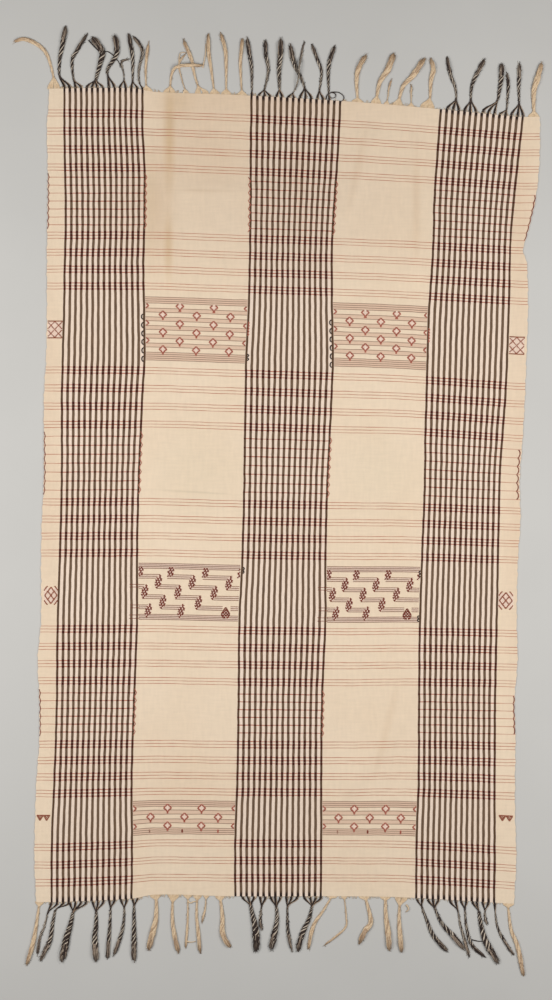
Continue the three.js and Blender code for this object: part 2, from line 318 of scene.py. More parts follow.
@dataclass(frozen=True)
class Strand:
    """One strand of a fringe, from its root along the end of the cloth to its tip.

    legs are the places of the warp bundles that gather into it, counted from the root, and neck is
    how far out they meet. wide is its greatest width. Its course is given by three points, sideways
    from the root and out from the end. hop is how far along it lies over another strand.
    """

    kind: Kind
    root: float
    legs: tuple[float, ...]
    neck: float
    wide: float
    knee: tuple[float, float]
    bend: tuple[float, float]
    tip: tuple[float, float]
    hop: float = 0.0


def strands(rows: Sequence[Sequence]) -> list[Strand]:
    """Reads a fringe's rows: kind, root, legs, neck, wide, knee, bend, tip and, if any, hop."""
    return [Strand(Kind(kind), *rest) for kind, *rest in rows]


TOP_STRANDS = strands([
    ("C", -542, (-14, 2), 30, 10, (-24, 85), (-72, 118), (-102, 112)),
    ("D", -535, (13, 26), 32, 12, (1, 64), (7, 98), (16, 151)),
    ("D", -497, (1, 15), 20, 10, (-7, 62), (5, 90), (29, 129)),
    ("D", -452, (-18, -5, 8, 21), 20, 16, (17, 64), (20, 88), (-4, 124)),
    ("D", -414, (-2, 11), 34, 14, (-5, 42), (17, 81), (13, 126)),
    ("D", -378, (-12, 2), 20, 5, (-2, 35), (-7, 61), (11, 70)),
    ("D", -359, (-3, 12), 16, 10, (1, 64), (-4, 104), (-10, 132)),
    ("D", -340, (6,), 14, 9, (-4, 44), (5, 92), (-17, 127)),
    ("C", -326, (0, 9), 12, 7, (-1, 50), (2, 88), (6, 115)),
    ("C", -269, (-9, 7), 16, 9, (5, 47), (24, 63), (80, 65), 0.66),
    ("C", -230, (0,), 10, 4, (-10, 32), (-17, 70), (0, 96)),
    ("C", -196, (-6, 14), 20, 9, (-14, 46), (-22, 84), (-41, 130)),
    ("C", -162, (-5, 6), 14, 9, (-8, 60), (-14, 100), (-15, 145)),
    ("C", -134, (-6, 6), 14, 9, (0, 68), (-2, 107), (-13, 147)),
    ("C", -96, (-5, 5), 12, 8, (-4, 71), (-2, 102), (1, 137)),
    ("D", -72, (-1,), 14, 10, (-1, 64), (-6, 100), (-12, 139)),
    ("D", -46, (-11, 4, 17), 16, 10, (13, 60), (7, 101), (6, 136)),
    ("D", -5, (-9, 5), 20, 14, (-2, 58), (1, 104), (2, 142)),
    ("D", 62, (-20, -6, 8), 28, 12, (-14, 45), (-32, 82), (-43, 130)),
    ("D", 20, (-6, 8), 12, 6, (17, 35), (22, 79), (33, 134), 0.45),
    ("D", 86, (-2, 12), 22, 9, (9, 62), (0, 93), (-15, 131)),
    ("D", 113, (0,), 12, 10, (-2, 63), (2, 96), (14, 132)),
    ("C", 182, (-8, 6), 10, 12, (-3, 55), (4, 86), (21, 113)),
    ("C", 226, (-6, 5), 20, 15, (8, 49), (28, 81), (42, 121)),
    ("C", 251, (0,), 8, 4, (4, 24), (6, 40), (12, 60)),
    ("C", 278, (-6, 5), 18, 14, (12, 44), (36, 71), (65, 113)),
    ("C", 310, (0,), 8, 4, (0, 22), (0, 37), (1, 52)),
    ("C", 355, (-17, -6, 4), 26, 12, (2, 62), (8, 93), (2, 118)),
    ("D", 418, (-23, -8, 6), 28, 10, (-1, 49), (-13, 84), (-22, 130)),
    ("D", 454, (-17, -3, 11), 30, 11, (0, 53), (10, 84), (32, 126)),
    ("D", 514, (-34, -20, -5), 36, 13, (7, 53), (12, 87), (13, 124)),
    ("D", 538, (-16, -2), 14, 8, (4, 53), (5, 77), (2, 102)),
    ("D", 571, (-22, -6, 7), 34, 10, (-3, 60), (-2, 94), (-1, 129)),
    ("C", 605, (-8, 5), 14, 15, (-1, 58), (7, 90), (19, 130)),
])

BOTTOM_STRANDS = strands([
    ("C", -582, (-3, 4), 10, 11, (-8, 58), (-16, 101), (-31, 152)),
    ("D", -557, (3, 18), 26, 7, (-12, 55), (-24, 86), (-30, 127)),
    ("D", -540, (16, 30), 20, 12, (-10, 49), (-17, 92), (-40, 140)),
    ("D", -497, (-13, 1, 15, 28), 28, 18, (-10, 53), (-20, 89), (-31, 144)),
    ("D", -446, (-9, 4, 18), 28, 15, (0, 53), (-3, 90), (0, 146)),
    ("D", -410, (-5, 8), 20, 10, (-3, 59), (-6, 98), (-9, 143)),
    ("D", -378, (-9, 5), 22, 10, (-2, 55), (-10, 91), (-26, 135)),
    ("D", -355, (-4, 8), 18, 13, (0, 59), (0, 104), (0, 152)),
    ("C", -302, (-9, 4), 14, 15, (0, 52), (-8, 90), (-19, 133)),
    ("C", -262, (-4, 9), 20, 11, (-1, 57), (4, 98), (14, 140)),
    ("C", -226, (-4, 3), 10, 6, (0, 49), (-2, 90), (-5, 129)),
    ("C", -203, (-4, 4), 12, 9, (-2, 49), (2, 89), (7, 139)),
    ("C", -182, (0,), 8, 5, (-2, 30), (-6, 47), (-10, 64)),
    ("C", -149, (-5, 5), 12, 13, (6, 49), (7, 92), (26, 124)),
    ("D", -79, (-17, -3, 12), 22, 18, (8, 43), (16, 82), (17, 132)),
    ("D", -47, (-6, 7), 26, 8, (-4, 43), (-5, 60), (-2, 80)),
    ("D", -16, (-12, -1, 12), 26, 15, (4, 48), (-1, 84), (-11, 128)),
    ("D", 13, (-3, 10, 24), 26, 9, (0, 52), (2, 88), (11, 131)),
    ("D", 76, (-24, -9, 5, 18), 26, 14, (-10, 50), (-27, 89), (-38, 133)),
    ("C", 120, (-3, 6), 6, 9, (-22, 36), (-45, 72), (-57, 127)),
    ("C", 149, (0,), 8, 5, (5, 48), (1, 78), (-47, 117)),
    ("C", 199, (-8, 4), 10, 13, (14, 59), (0, 83), (-13, 114)),
    ("C", 248, (-7, 6), 8, 14, (1, 42), (6, 84), (11, 129)),
    ("C", 283, (-5, 12), 22, 12, (-2, 48), (0, 88), (4, 132)),
    ("D", 328, (-5, 8), 22, 11, (19, 52), (36, 91), (70, 129)),
    ("D", 358, (-9, 4, 17), 24, 13, (23, 55), (49, 85), (79, 121)),
    ("D", 420, (-18, -4), 26, 8, (6, 51), (15, 84), (30, 135)),
    ("D", 438, (-9, 4), 20, 9, (4, 59), (17, 105), (50, 136)),
    ("D", 470, (-14, -3), 24, 16, (7, 53), (20, 98), (49, 148)),
    ("D", 487, (-6, 8), 22, 7, (0, 25), (1, 40), (4, 54)),
    ("D", 510, (0,), 26, 8, (6, 54), (23, 91), (48, 128)),
    ("C", 542, (-6, 8), 10, 11, (7, 60), (23, 103), (38, 175)),
])

# The yarns of a strand: its core, then those that wind round it. A dark strand's pale ones vary.
WINDING = 8
DARK_PALES = ((1, 4, 6), (2, 5, 7), (1, 3, 6), (2, 5, 8), (1, 3, 5, 7))
# Among a cream strand's plies, the tan yarns are painted shade in the crevices of its twist.
CREAM_PLIES = (
    Dye.TAN, Dye.CREAM, Dye.CREAM, Dye.TAN, Dye.CREAM, Dye.CREAM, Dye.CREAM, Dye.TAN, Dye.CREAM,
)

# How thick a strand's yarns are, in shares of its width, and how wide it is from its neck to its tip.
CORE_SHARE = 0.74
PLY_SHARES = {Dye.BLACK: 0.36, Dye.TAN: 0.36, Dye.GREY: 0.26, Dye.CREAM: 0.34}
WIDTHS_AT = np.array([0, 0.3, 0.7, 0.9, 1.0])
WIDTHS = np.array([0.46, 0.68, 1.0, 1.0, 0.66])

# The yarns of one warp bundle, sideways from its middle, with their dyes, and how thick each dye's are.
LEG_YARNS = {
    Kind.DARK: ((-1.6, Dye.BLACK), (0.0, Dye.BLACK), (1.6, Dye.BLACK), (4.6, Dye.TAN)),
    Kind.CREAM: tuple((place, Dye.CREAM) for place in (-6.4, -4.2, -2.1, 0.0, 2.1, 4.2, 6.4)),
}
LEG_THICKNESS = {Dye.BLACK: 2.3, Dye.CREAM: 1.9, Dye.TAN: 1.1}

# Loose yarns that link strands or stray from them: dye, thickness and points on the floor.
TOP_STRAYS = (
    (Dye.BLACK, 2.6, ((-430, 1064), (-420, 1069), (-408, 1062), (-392, 1044), (-388, 1030))),
    (Dye.BLACK, 1.8, ((-388, 1046), (-380, 1050), (-368, 1050), (-356, 1053))),
    (Dye.BLACK, 3.0, ((-464, 1096), (-452, 1082), (-440, 1070), (-430, 1060))),
    (Dye.CREAM, 3.2, ((-246, 1034), (-247, 1052), (-243, 1066), (-230, 1066))),
    (Dye.CREAM, 3.0, ((-190, 1030), (-184, 1062), (-183, 1088))),
    (Dye.BLACK, 2.8, ((106, 954), (108, 964), (118, 970), (128, 967), (128, 959), (118, 957), (114, 964))),
    (Dye.BLACK, 2.8, ((118, 971), (134, 971), (145, 965), (149, 956), (143, 949))),
)
BOTTOM_STRAYS = (
    (Dye.CREAM, 4.0, ((-226, -968), (-220, -974), (-210, -970), (-202, -973))),
    (Dye.CREAM, 3.4, ((-230, -1066), (-218, -1068), (-207, -1066))),
    (Dye.CREAM, 4.2, ((298, -978), (304, -988), (297, -996))),
    (Dye.BLACK, 2.8, ((455, -1062), (474, -1066), (492, -1064))),
)


def smooth(places: np.ndarray, values: np.ndarray, at: np.ndarray) -> np.ndarray:
    """Smooth values between the points of a course that is sorted by place.

    Args:
        places: The places of the points, in rising order.
        values: One value for each place, or one row of values, a value for each entry of at.
        at: Where the values are wanted.

    Returns:
        The value at each entry of at, held level past the two ends.
    """
    at = np.atleast_1d(np.asarray(at, float))
    last = len(places) - 1
    i = np.searchsorted(places[1:last], at, side="left")
    rows = values[:, None] if values.ndim == 1 else values
    cell = np.zeros(len(at), int) if rows.shape[1] == 1 else np.arange(len(at))
    before, after = np.maximum(i - 1, 0), np.minimum(i + 2, last)
    span = places[i + 1] - places[i]
    t = np.clip((at - places[i]) / span, 0, 1)
    slope_in = (rows[i + 1, cell] - rows[before, cell]) / (places[i + 1] - places[before]) * span
    slope_out = (rows[after, cell] - rows[i, cell]) / (places[after] - places[i]) * span
    t2, t3 = t * t, t * t * t
    return (
        (2 * t3 - 3 * t2 + 1) * rows[i, cell]
        + (t3 - 2 * t2 + t) * slope_in
        + (3 * t2 - 2 * t3) * rows[i + 1, cell]
        + (t3 - t2) * slope_out
    )


def sag(level: np.ndarray, x: np.ndarray) -> np.ndarray:
    """How far the weft of each level lies from that level at x."""
    here = np.stack([smooth(SAG[:, 0], SAG[:, 1 + s], level) for s in range(len(SAG_STATIONS))])
    return smooth(SAG_STATIONS, here, x)


def across(place: np.ndarray, y: np.ndarray) -> np.ndarray:
    """Where warp threads lie at a height up the cloth.

    Args:
        place: The threads' woven places from the left selvedge.
        y: The heights.

    Returns:
        The x of each thread.
    """
    edges = [smooth(SELVEDGES[:, 0], SELVEDGES[:, 1], y)]
    edges += [smooth(BANDS[:, 0], BANDS[:, 1 + b], y) for b in range(6)]
    edges += [smooth(SELVEDGES[:, 0], SELVEDGES[:, 2], y)]
    xs, places = np.stack(edges), WARP.places
    seg = np.clip(np.searchsorted(places[1:-1], place, side="right"), 0, 6)
    t = (place - places[seg]) / (places[seg + 1] - places[seg])
    cell = np.arange(len(place))
    return xs[seg, cell] * (1 - t) + xs[seg + 1, cell] * t


def lie(place: np.ndarray, level: np.ndarray) -> tuple[np.ndarray, np.ndarray]:
    """Where points of the cloth lie.

    Args:
        place: Their woven places from the left selvedge.
        level: The levels of their weft.

    Returns:
        Their x and y.
    """
    y = level + sag(level, across(place, level))
    return across(place, y), y


def lift(x: np.ndarray, y: np.ndarray) -> np.ndarray:
    """Height of the cloth's underside over the surface: the soft ridges and a slight cockle.

    Args:
        x: Where, across.
        y: Where, along.

    Returns:
        The height at each point, never below the surface.
    """
    highest = np.zeros_like(x)
    for from_x, from_y, to_x, to_y, height, reach in CREASES:
        run = np.array([to_x - from_x, to_y - from_y])
        t = np.clip(((x - from_x) * run[0] + (y - from_y) * run[1]) / (run @ run), 0, 1)
        away = np.hypot(x - from_x - t * run[0], y - from_y - t * run[1])
        rise = height * (1 + np.cos(np.pi * np.minimum(away / reach, 1))) / 2
        highest = np.maximum(highest, np.where(away < reach, rise, 0))
    wave_x = np.sin(x / COCKLE_ACROSS[0] + np.sin(y / COCKLE_ACROSS[1]))
    wave_y = np.sin(y / COCKLE_ALONG[0] + np.sin(x / COCKLE_ALONG[1]) * 1.3)
    return highest + COCKLE * (0.5 + 0.25 * wave_x + 0.25 * wave_y)


def linear(hex_colour: str) -> tuple[float, float, float, float]:
    """Turns an sRGB hex value to linear light.

    Args:
        hex_colour: The colour, such as "#ead6bd".

    Returns:
        The linear colour, with full alpha.
    """
    parts = [int(hex_colour[i : i + 2], 16) / 255 for i in (1, 3, 5)]
    red, green, blue = (c / 12.92 if c <= 0.04045 else ((c + 0.055) / 1.055) ** 2.4 for c in parts)
    return (red, green, blue, 1.0)


def add_node(tree: Tree, kind: str, inputs: Sequence | dict = (), **settings: object) -> bpy.types.Node:
    """Adds a shader node with its settings and what feeds it.

    Args:
        tree: The node tree.
        kind: The node's type, without the ShaderNode that starts it.
        inputs: A value, a node or a socket for each live input in order, or for inputs by name.
            A node stands for its first live output.
        **settings: The node's own settings.

    Returns:
        The new node.
    """
    node = tree.nodes.new(f"ShaderNode{kind}")
    for name, value in settings.items():
        setattr(node, name, value)
    if isinstance(inputs, dict):
        pairs = [(node.inputs[name], value) for name, value in inputs.items()]
    else:
        pairs = list(zip([s for s in node.inputs if s.enabled], inputs))
    for socket, value in pairs:
        if isinstance(value, bpy.types.Node):
            value = next(s for s in value.outputs if s.enabled)
        if isinstance(value, bpy.types.NodeSocket):
            tree.links.new(value, socket)
        else:
            socket.default_value = value
    return node


def new_material(name: str) -> tuple[bpy.types.Material, Tree]:
    """Makes an empty node material.

    Args:
        name: Its name.

    Returns:
        The material and its node tree.
    """
    material = bpy.data.materials.new(name)
    material.use_nodes = True
    material.node_tree.nodes.clear()
    return material, material.node_tree


def chain(tree: Tree, operation: str, values: Sequence[Feed]) -> Feed:
    """Joins several values by one math operation, two by two.

    Args:
        tree: The material's tree.
        operation: The operation.
        values: What is joined.

    Returns:
        The node that holds the result.
    """
    joined = values[0]
    for value in values[1:]:
        joined = add_node(tree, "Math", [joined, value], operation=operation)
    return joined


def bars_offset(tree: Tree, place: Feed, bars: Bars) -> Feed:
    """How far a place is below the nearest bar of a run.

    Args:
        tree: The material's tree.
        place: The place across the bars, in millimetres.
        bars: The run, counted downwards.

    Returns:
        The node that holds the offset, in millimetres.
    """
    below = add_node(tree, "Math", [bars.first, place], operation="SUBTRACT")
    counted = add_node(tree, "Math", [below, bars.pitch], operation="DIVIDE")
    whole = add_node(tree, "Math", [counted], operation="ROUND")
    nearest = add_node(tree, "Clamp", [whole, 0.0, float(bars.count - 1)])
    rest = add_node(tree, "Math", [counted, nearest], operation="SUBTRACT")
    return add_node(tree, "Math", [rest, bars.pitch], operation="MULTIPLY")


def bars_distance(tree: Tree, place: Feed, bars: Bars) -> Feed:
    """How far a place is from the nearest bar of a run, up or down, in millimetres."""
    return add_node(tree, "Math", [bars_offset(tree, place, bars)], operation="ABSOLUTE")


def line_mask(tree: Tree, distance: Feed, half: float, soft: float = 0.4) -> Feed:
    """A mask that is 1 where a distance is less than half a line's width, with a soft edge."""
    edges = [distance, half - soft, half + soft, 1.0, 0.0]
    return add_node(tree, "MapRange", edges, interpolation_type="SMOOTHSTEP")


def within(tree: Tree, place: Feed, low: float, high: float) -> Feed:
    """A mask that is 1 between two places.

    Args:
        tree: The material's tree.
        place: The place.
        low: Where the mask starts.
        high: Where it ends.

    Returns:
        The node that holds the mask.
    """
    above = add_node(tree, "Math", [place, low], operation="GREATER_THAN")
    below = add_node(tree, "Math", [place, high], operation="LESS_THAN")
    return add_node(tree, "Math", [above, below], operation="MULTIPLY")


@dataclass(frozen=True)
class StainAndShade:
    """A darker place, a stain or the painted shade of a fold: its middle, its reach across and along, its
    depth, colour and turn.
    """

    x: float
    y: float
    reach_x: float
    reach_y: float
    depth: float
    colour: str
    turn: float = 0.0


# Darker places, most of them along the old folds: yellowed and rubbed places, thin darker lines along folds,
# broad darkening towards the top and along both selvedges, and the painted shade of two folds that cross the
# cloth.
STAINS_AND_SHADE = [
    StainAndShade(-270, 860, 22, 190, 0.50, "#c7a26c"),
    StainAndShade(-272, 600, 17, 120, 0.42, "#c7a26c"),
    StainAndShade(-318, 700, 26, 190, 0.16, "#c9b58c"),
    StainAndShade(-250, 950, 60, 60, 0.25, "#bfa070"),
    StainAndShade(-190, 850, 170, 170, 0.22, "#c9a27e"),
    StainAndShade(322, 700, 16, 190, 0.22, "#bf9a72"),
    StainAndShade(40, 760, 22, 190, 0.14, "#bf9a72"),
    StainAndShade(180, 780, 150, 18, 0.16, "#bf9a72", 78),
    StainAndShade(-20, 960, 620, 90, 0.20, "#c9a27e"),
    # Painted shade: a thin darker line along the fold that crosses the panel here.
    StainAndShade(-213, 12, 135, 4.5, 0.30, "#b3a284", -3.4),
    # Painted shade: a thin darker line along the fold that crosses the cloth near the top.
    StainAndShade(-190, 735, 105, 6, 0.22, "#b89a78", -1),
    StainAndShade(-250, -700, 240, 200, 0.10, "#c9a27e"),
    StainAndShade(250, -560, 16, 170, 0.14, "#bf9a72", -14),
    StainAndShade(570, 700, 60, 300, 0.16, "#c9a27e"),
    StainAndShade(-10, 720, 700, 300, 0.26, "#c4ae98"),
    StainAndShade(-300, 690, 60, 220, 0.26, "#c09c76"),
    StainAndShade(-565, 100, 70, 900, 0.22, "#c6a98e"),
    StainAndShade(570, 100, 70, 900, 0.22, "#c6a98e"),
    StainAndShade(-205, 60, 170, 170, 0.30, "#dccdb2"),
    StainAndShade(225, 60, 170, 170, 0.30, "#dccdb2"),
]


@dataclass(frozen=True)
class HandwovenCotton:
    """Plain-woven handspun cotton, matte and a little slubby, with black stripes in the warp.

    Every seen colour is that of one warp dye crossed by one weft dye, since neither thread hides the
    other: black warp under cream weft reads brown, and under red weft maroon.
    """

    cream: str = "#ead6bd"
    cream_in_bands: str = "#eedac9"
    red_over_cream: str = "#b5735c"
    black_under_cream: str = "#725b47"
    black_under_red: str = "#43170f"
    black_at_band_edge: str = "#59422f"
    black_bare: str = "#2c1d17"
    brown_line: str = "#957665"
    tan_between_lines: str = "#dcbfa7"
    darkening: str = "#c9a271"
    roughness: float = 0.88
    # Half the width of each kind of stripe and line, in millimetres, and of the stripes' soft edge.
    stripe_half: float = 3.15
    edge_stripe_half: float = 2.7
    stripe_soft: float = 0.6
    red_on_cream_half: float = 0.8
    red_on_black_half: float = 2.7
    grid_on_black_half: float = 1.6
    brown_line_half: float = 0.8
    red_spread_in_bands: float = 0.5
    # How far the threads wander from their places, and how far in the ends of the black warp are bare.
    wander: float = 2.4
    bare_end: float = 9.0
    bare_end_soft: float = 5.0
    # A thread is about 0.7 mm. It is drawn at 1.7 mm, so that the weave shows from a step away.
    thread_pitch: float = 1.7

    def material(self) -> bpy.types.Material:
        """Draws the cloth on its woven places.

        Returns:
            The cloth's material.
        """
        material, tree = new_material("handwoven_cotton_plain_weave")
        uv = add_node(tree, "UVMap", uv_map=WOVEN_MAP)
        millimetres = add_node(tree, "VectorMath", [uv, 1 / MM], operation="SCALE")
        where = add_node(tree, "TexCoord").outputs["Object"]
        waver = add_node(tree, "TexNoise", {"Vector": where, "Scale": 28.0, "Detail": 2.0})
        middle = (0.5, 0.5, 0.5)
        centred = add_node(tree, "VectorMath", [waver.outputs["Color"], middle], operation="SUBTRACT")
        shift = add_node(tree, "VectorMath", [centred, self.wander], operation="SCALE")
        moved = add_node(tree, "VectorMath", [millimetres, shift], operation="ADD")
        threads = add_node(tree, "SeparateXYZ", [moved])
        place, level = threads.outputs["X"], threads.outputs["Y"]

        stripe, rim, band = self.stripes(tree, place)
        outside = add_node(tree, "Math", [1.0, band], operation="SUBTRACT")
        panel = chain(tree, "MULTIPLY", [within(tree, place, WARP.l_last, WARP.r_first), outside])
        over_white, over_black = self.red_weft(tree, level, panel, band, where)
        brown, tan = self.panel_lines(tree, level, panel)

        light = self.ground(tree, where, band)
        crossings = (
            (tan, self.tan_between_lines),
            (brown, self.brown_line),
            (over_white, self.red_over_cream),
        )
        for mask, colour in crossings:
            light = add_node(tree, "Mix", [mask, light, linear(colour)], data_type="RGBA")
        dark = self.dark_warp(tree, where, level, rim, over_black)
        dyed = add_node(tree, "Mix", [stripe, light, dark], data_type="RGBA")

        weave, height = self.weave(tree, millimetres, where)
        lit = add_node(tree, "Mix", [1.0, dyed, weave], data_type="RGBA", blend_type="MULTIPLY")
        bump = add_node(tree, "Bump", {"Height": height, "Strength": 0.35, "Distance": 0.0004})
        shader = add_node(tree, "BsdfPrincipled", {
            "Base Color": lit, "Roughness": self.roughness, "Normal": bump,
            "Specular IOR Level": 0.15, "Sheen Weight": 0.04, "Sheen Roughness": 0.6,
        })
        add_node(tree, "OutputMaterial", [shader])
        return material

    def stripes(self, tree: Tree, place: Feed) -> tuple[Feed, Feed, Feed]:
        """The black warp stripes.

        Args:
            tree: The material's tree.
            place: The woven place across.

        Returns:
            The mask of all the stripes, that of each band's first and last, and that of the bands.
        """
        inner, outer, bands = [], [], []
        for first, last, count in WARP.bands:
            pitch = (last - first) / (count - 1)
            inner.append(bars_distance(tree, place, Bars(last - pitch, pitch, count - 2)))
            outer.append(bars_distance(tree, place, Bars(last, last - first, 2)))
            bands.append(within(tree, place, first - self.stripe_half, last + self.stripe_half))
        rim = line_mask(tree, chain(tree, "MINIMUM", outer), self.edge_stripe_half, self.stripe_soft)
        middle = line_mask(tree, chain(tree, "MINIMUM", inner), self.stripe_half, self.stripe_soft)
        return chain(tree, "MAXIMUM", [middle, rim]), rim, chain(tree, "MAXIMUM", bands)

    def red_weft(self, tree: Tree, level: Feed, panel: Feed, band: Feed, where: Feed) -> tuple[Feed, Feed]:
        """The red weft lines: groups of three all across, and the grid lines outside the panels.

        Args:
            tree: The material's tree.
            level: The weft's level.
            panel: The mask of the cream panels.
            band: The mask of the striped bands, where the red is packed closer.
            where: The Object coordinates.

        Returns:
            The mask of the lines over white warp, and their wider mask over black warp.
        """
        line = Bars(TRIPLE_STEP, TRIPLE_STEP, 3)
        groups = [bars_distance(tree, bars_offset(tree, level, group), line) for group in TRIPLES]
        triple = chain(tree, "MINIMUM", groups)
        grid = chain(tree, "MINIMUM", [bars_distance(tree, level, group) for group in GRIDS])
        outside = add_node(tree, "Math", [1.0, panel], operation="SUBTRACT")
        mapped = add_node(tree, "Mapping", {"Vector": where, "Scale": (22.0, 140.0, 1.0)})
        spun = add_node(tree, "TexNoise", {"Vector": mapped, "Scale": 1.0, "Detail": 2.0})
        uneven = add_node(tree, "MapRange", [spun, 0.35, 0.65, 0.6, 1.0])
        spread = chain(tree, "MULTIPLY", [band, self.red_spread_in_bands])
        thin = [chain(tree, "SUBTRACT", [away, spread]) for away in (triple, grid)]
        masks = []
        for lines, triple_half, grid_half in (
            (thin, self.red_on_cream_half, self.red_on_cream_half),
            ((triple, grid), self.red_on_black_half, self.grid_on_black_half),
        ):
            kept = chain(tree, "MULTIPLY", [line_mask(tree, lines[1], grid_half), outside])
            masks.append(chain(tree, "MAXIMUM", [line_mask(tree, lines[0], triple_half), kept]))
        return chain(tree, "MULTIPLY", [masks[0], uneven]), masks[1]

    def panel_lines(self, tree: Tree, level: Feed, panel: Feed) -> tuple[Feed, Feed]:
        """The thin brown lines of the diamond panels and the tan shade between them.

        Args:
            tree: The material's tree.
            level: The weft's level.
            panel: The mask of the cream panels.

        Returns:
            The mask of the lines and the mask of the shade.
        """
        lines, shades = [], []
        for rows in DIAMOND_PANELS:
            offset = bars_offset(tree, level, rows.pairs)
            lines.append(bars_distance(tree, offset, Bars(rows.pair_gap / 2, rows.pair_gap, 2)))
            away = add_node(tree, "Math", [offset], operation="ABSOLUTE")
            shades.append(line_mask(tree, away, rows.pair_gap / 2))
            for edge in (rows.head, rows.foot):
                half = edge.pitch * (edge.count - 1) / 2
                lines.append(bars_distance(tree, level, edge))
                middle = bars_distance(tree, level, Bars(edge.first - half, 1.0, 1))
                shades.append(line_mask(tree, middle, half))
        line = line_mask(tree, chain(tree, "MINIMUM", lines), self.brown_line_half)
        shade = chain(tree, "MAXIMUM", shades)
        return chain(tree, "MULTIPLY", [line, panel]), chain(tree, "MULTIPLY", [shade, panel])

    def ground(self, tree: Tree, where: Feed, band: Feed) -> Feed:
        """The undyed cotton, a little pinker in the bands, with its stains along the old folds and the
        painted shade of two folds.

        Args:
            tree: The material's tree.
            where: The Object coordinates.
            band: The mask of the striped bands.

        Returns:
            The node that holds the colour.
        """
        creams = [linear(self.cream), linear(self.cream_in_bands)]
        cotton = add_node(tree, "Mix", [band, *creams], data_type="RGBA")
        spots = add_node(tree, "TexNoise", {"Vector": where, "Scale": 5.0, "Detail": 3.0})
        patchy = add_node(tree, "MapRange", [spots, 0.35, 0.75, 0.0, 0.10])
        stained_and_shaded = add_node(tree, "Mix", [patchy, cotton, linear(self.darkening)], data_type="RGBA")
        # Each darker place is a stain or painted shade along a fold, mixed into the cotton.
        for darkening in STAINS_AND_SHADE:
            mapped = add_node(tree, "Mapping", {
                "Vector": where,
                "Location": (darkening.x * MM, darkening.y * MM, 0.0),
                "Rotation": (0.0, 0.0, math.radians(darkening.turn)),
                "Scale": (darkening.reach_x * MM, darkening.reach_y * MM, 1.0),
            }, vector_type="TEXTURE")
            distance = add_node(tree, "VectorMath", [mapped], operation="LENGTH")
            fading = [distance, 0.0, 1.0, darkening.depth, 0.0]
            strength = add_node(tree, "MapRange", fading, interpolation_type="SMOOTHSTEP")
            stained_and_shaded = add_node(tree, "Mix", [strength, stained_and_shaded, linear(darkening.colour)], data_type="RGBA")
        return stained_and_shaded

    def dark_warp(self, tree: Tree, where: Feed, level: Feed, rim: Feed, red: Feed) -> Feed:
        """The colour of a black stripe: brown under cream weft, maroon under red, bare at the two ends.

        Args:
            tree: The material's tree.
            where: The Object coordinates.
            level: The weft's level.
            rim: The mask of the stripes at the bands' edges.
            red: The mask of the red weft over black.

        Returns:
            The node that holds the colour.
        """
        mapped = add_node(tree, "Mapping", {"Vector": where, "Scale": (110.0, 30.0, 1.0)})
        worn = add_node(tree, "TexNoise", {"Vector": mapped, "Scale": 1.0, "Detail": 3.0})
        tone = add_node(tree, "MapRange", [worn, 0.35, 0.7, 0.0, 0.3])
        ends = bars_distance(tree, level, Bars(CLOTH_TOP, CLOTH_TOP - CLOTH_BOTTOM, 2))
        bare = line_mask(tree, ends, self.bare_end, self.bare_end_soft)
        colour = linear(self.black_under_cream)
        for mask, over in (
            (tone, self.black_bare), (rim, self.black_at_band_edge),
            (red, self.black_under_red), (bare, self.black_bare),
        ):
            colour = add_node(tree, "Mix", [mask, colour, linear(over)], data_type="RGBA")
        return colour

    def weave(self, tree: Tree, millimetres: Feed, where: Feed) -> tuple[Feed, Feed]:
        """The threads themselves: light and shade from thread to thread, and their height.

        Args:
            tree: The material's tree.
            millimetres: The woven place, as a vector.
            where: The Object coordinates.

        Returns:
            The tint of the threads and their height.
        """
        turns = add_node(tree, "VectorMath", [millimetres, math.tau / self.thread_pitch], operation="SCALE")
        split = add_node(tree, "SeparateXYZ", [turns])
        waves = [add_node(tree, "Math", [split.outputs[axis]], operation="SINE") for axis in ("X", "Y")]
        over_under = add_node(tree, "Math", waves, operation="MULTIPLY")
        slubs = []
        for stretch in ((140.0, 26.0, 1.0), (26.0, 190.0, 1.0)):
            mapped = add_node(tree, "Mapping", {"Vector": where, "Scale": stretch})
            slubs.append(add_node(tree, "TexNoise", {"Vector": mapped, "Scale": 1.0, "Detail": 3.0}))
        uneven = add_node(tree, "Math", slubs, operation="ADD")
        fine = add_node(tree, "MapRange", [over_under, -1.0, 1.0, -0.02, 0.02])
        coarse = add_node(tree, "MapRange", [uneven, 0.6, 1.4, 0.95, 1.04])
        tint = add_node(tree, "Math", [fine, coarse], operation="ADD")
        height = add_node(tree, "Math", [over_under, uneven], operation="ADD")
        return tint, height


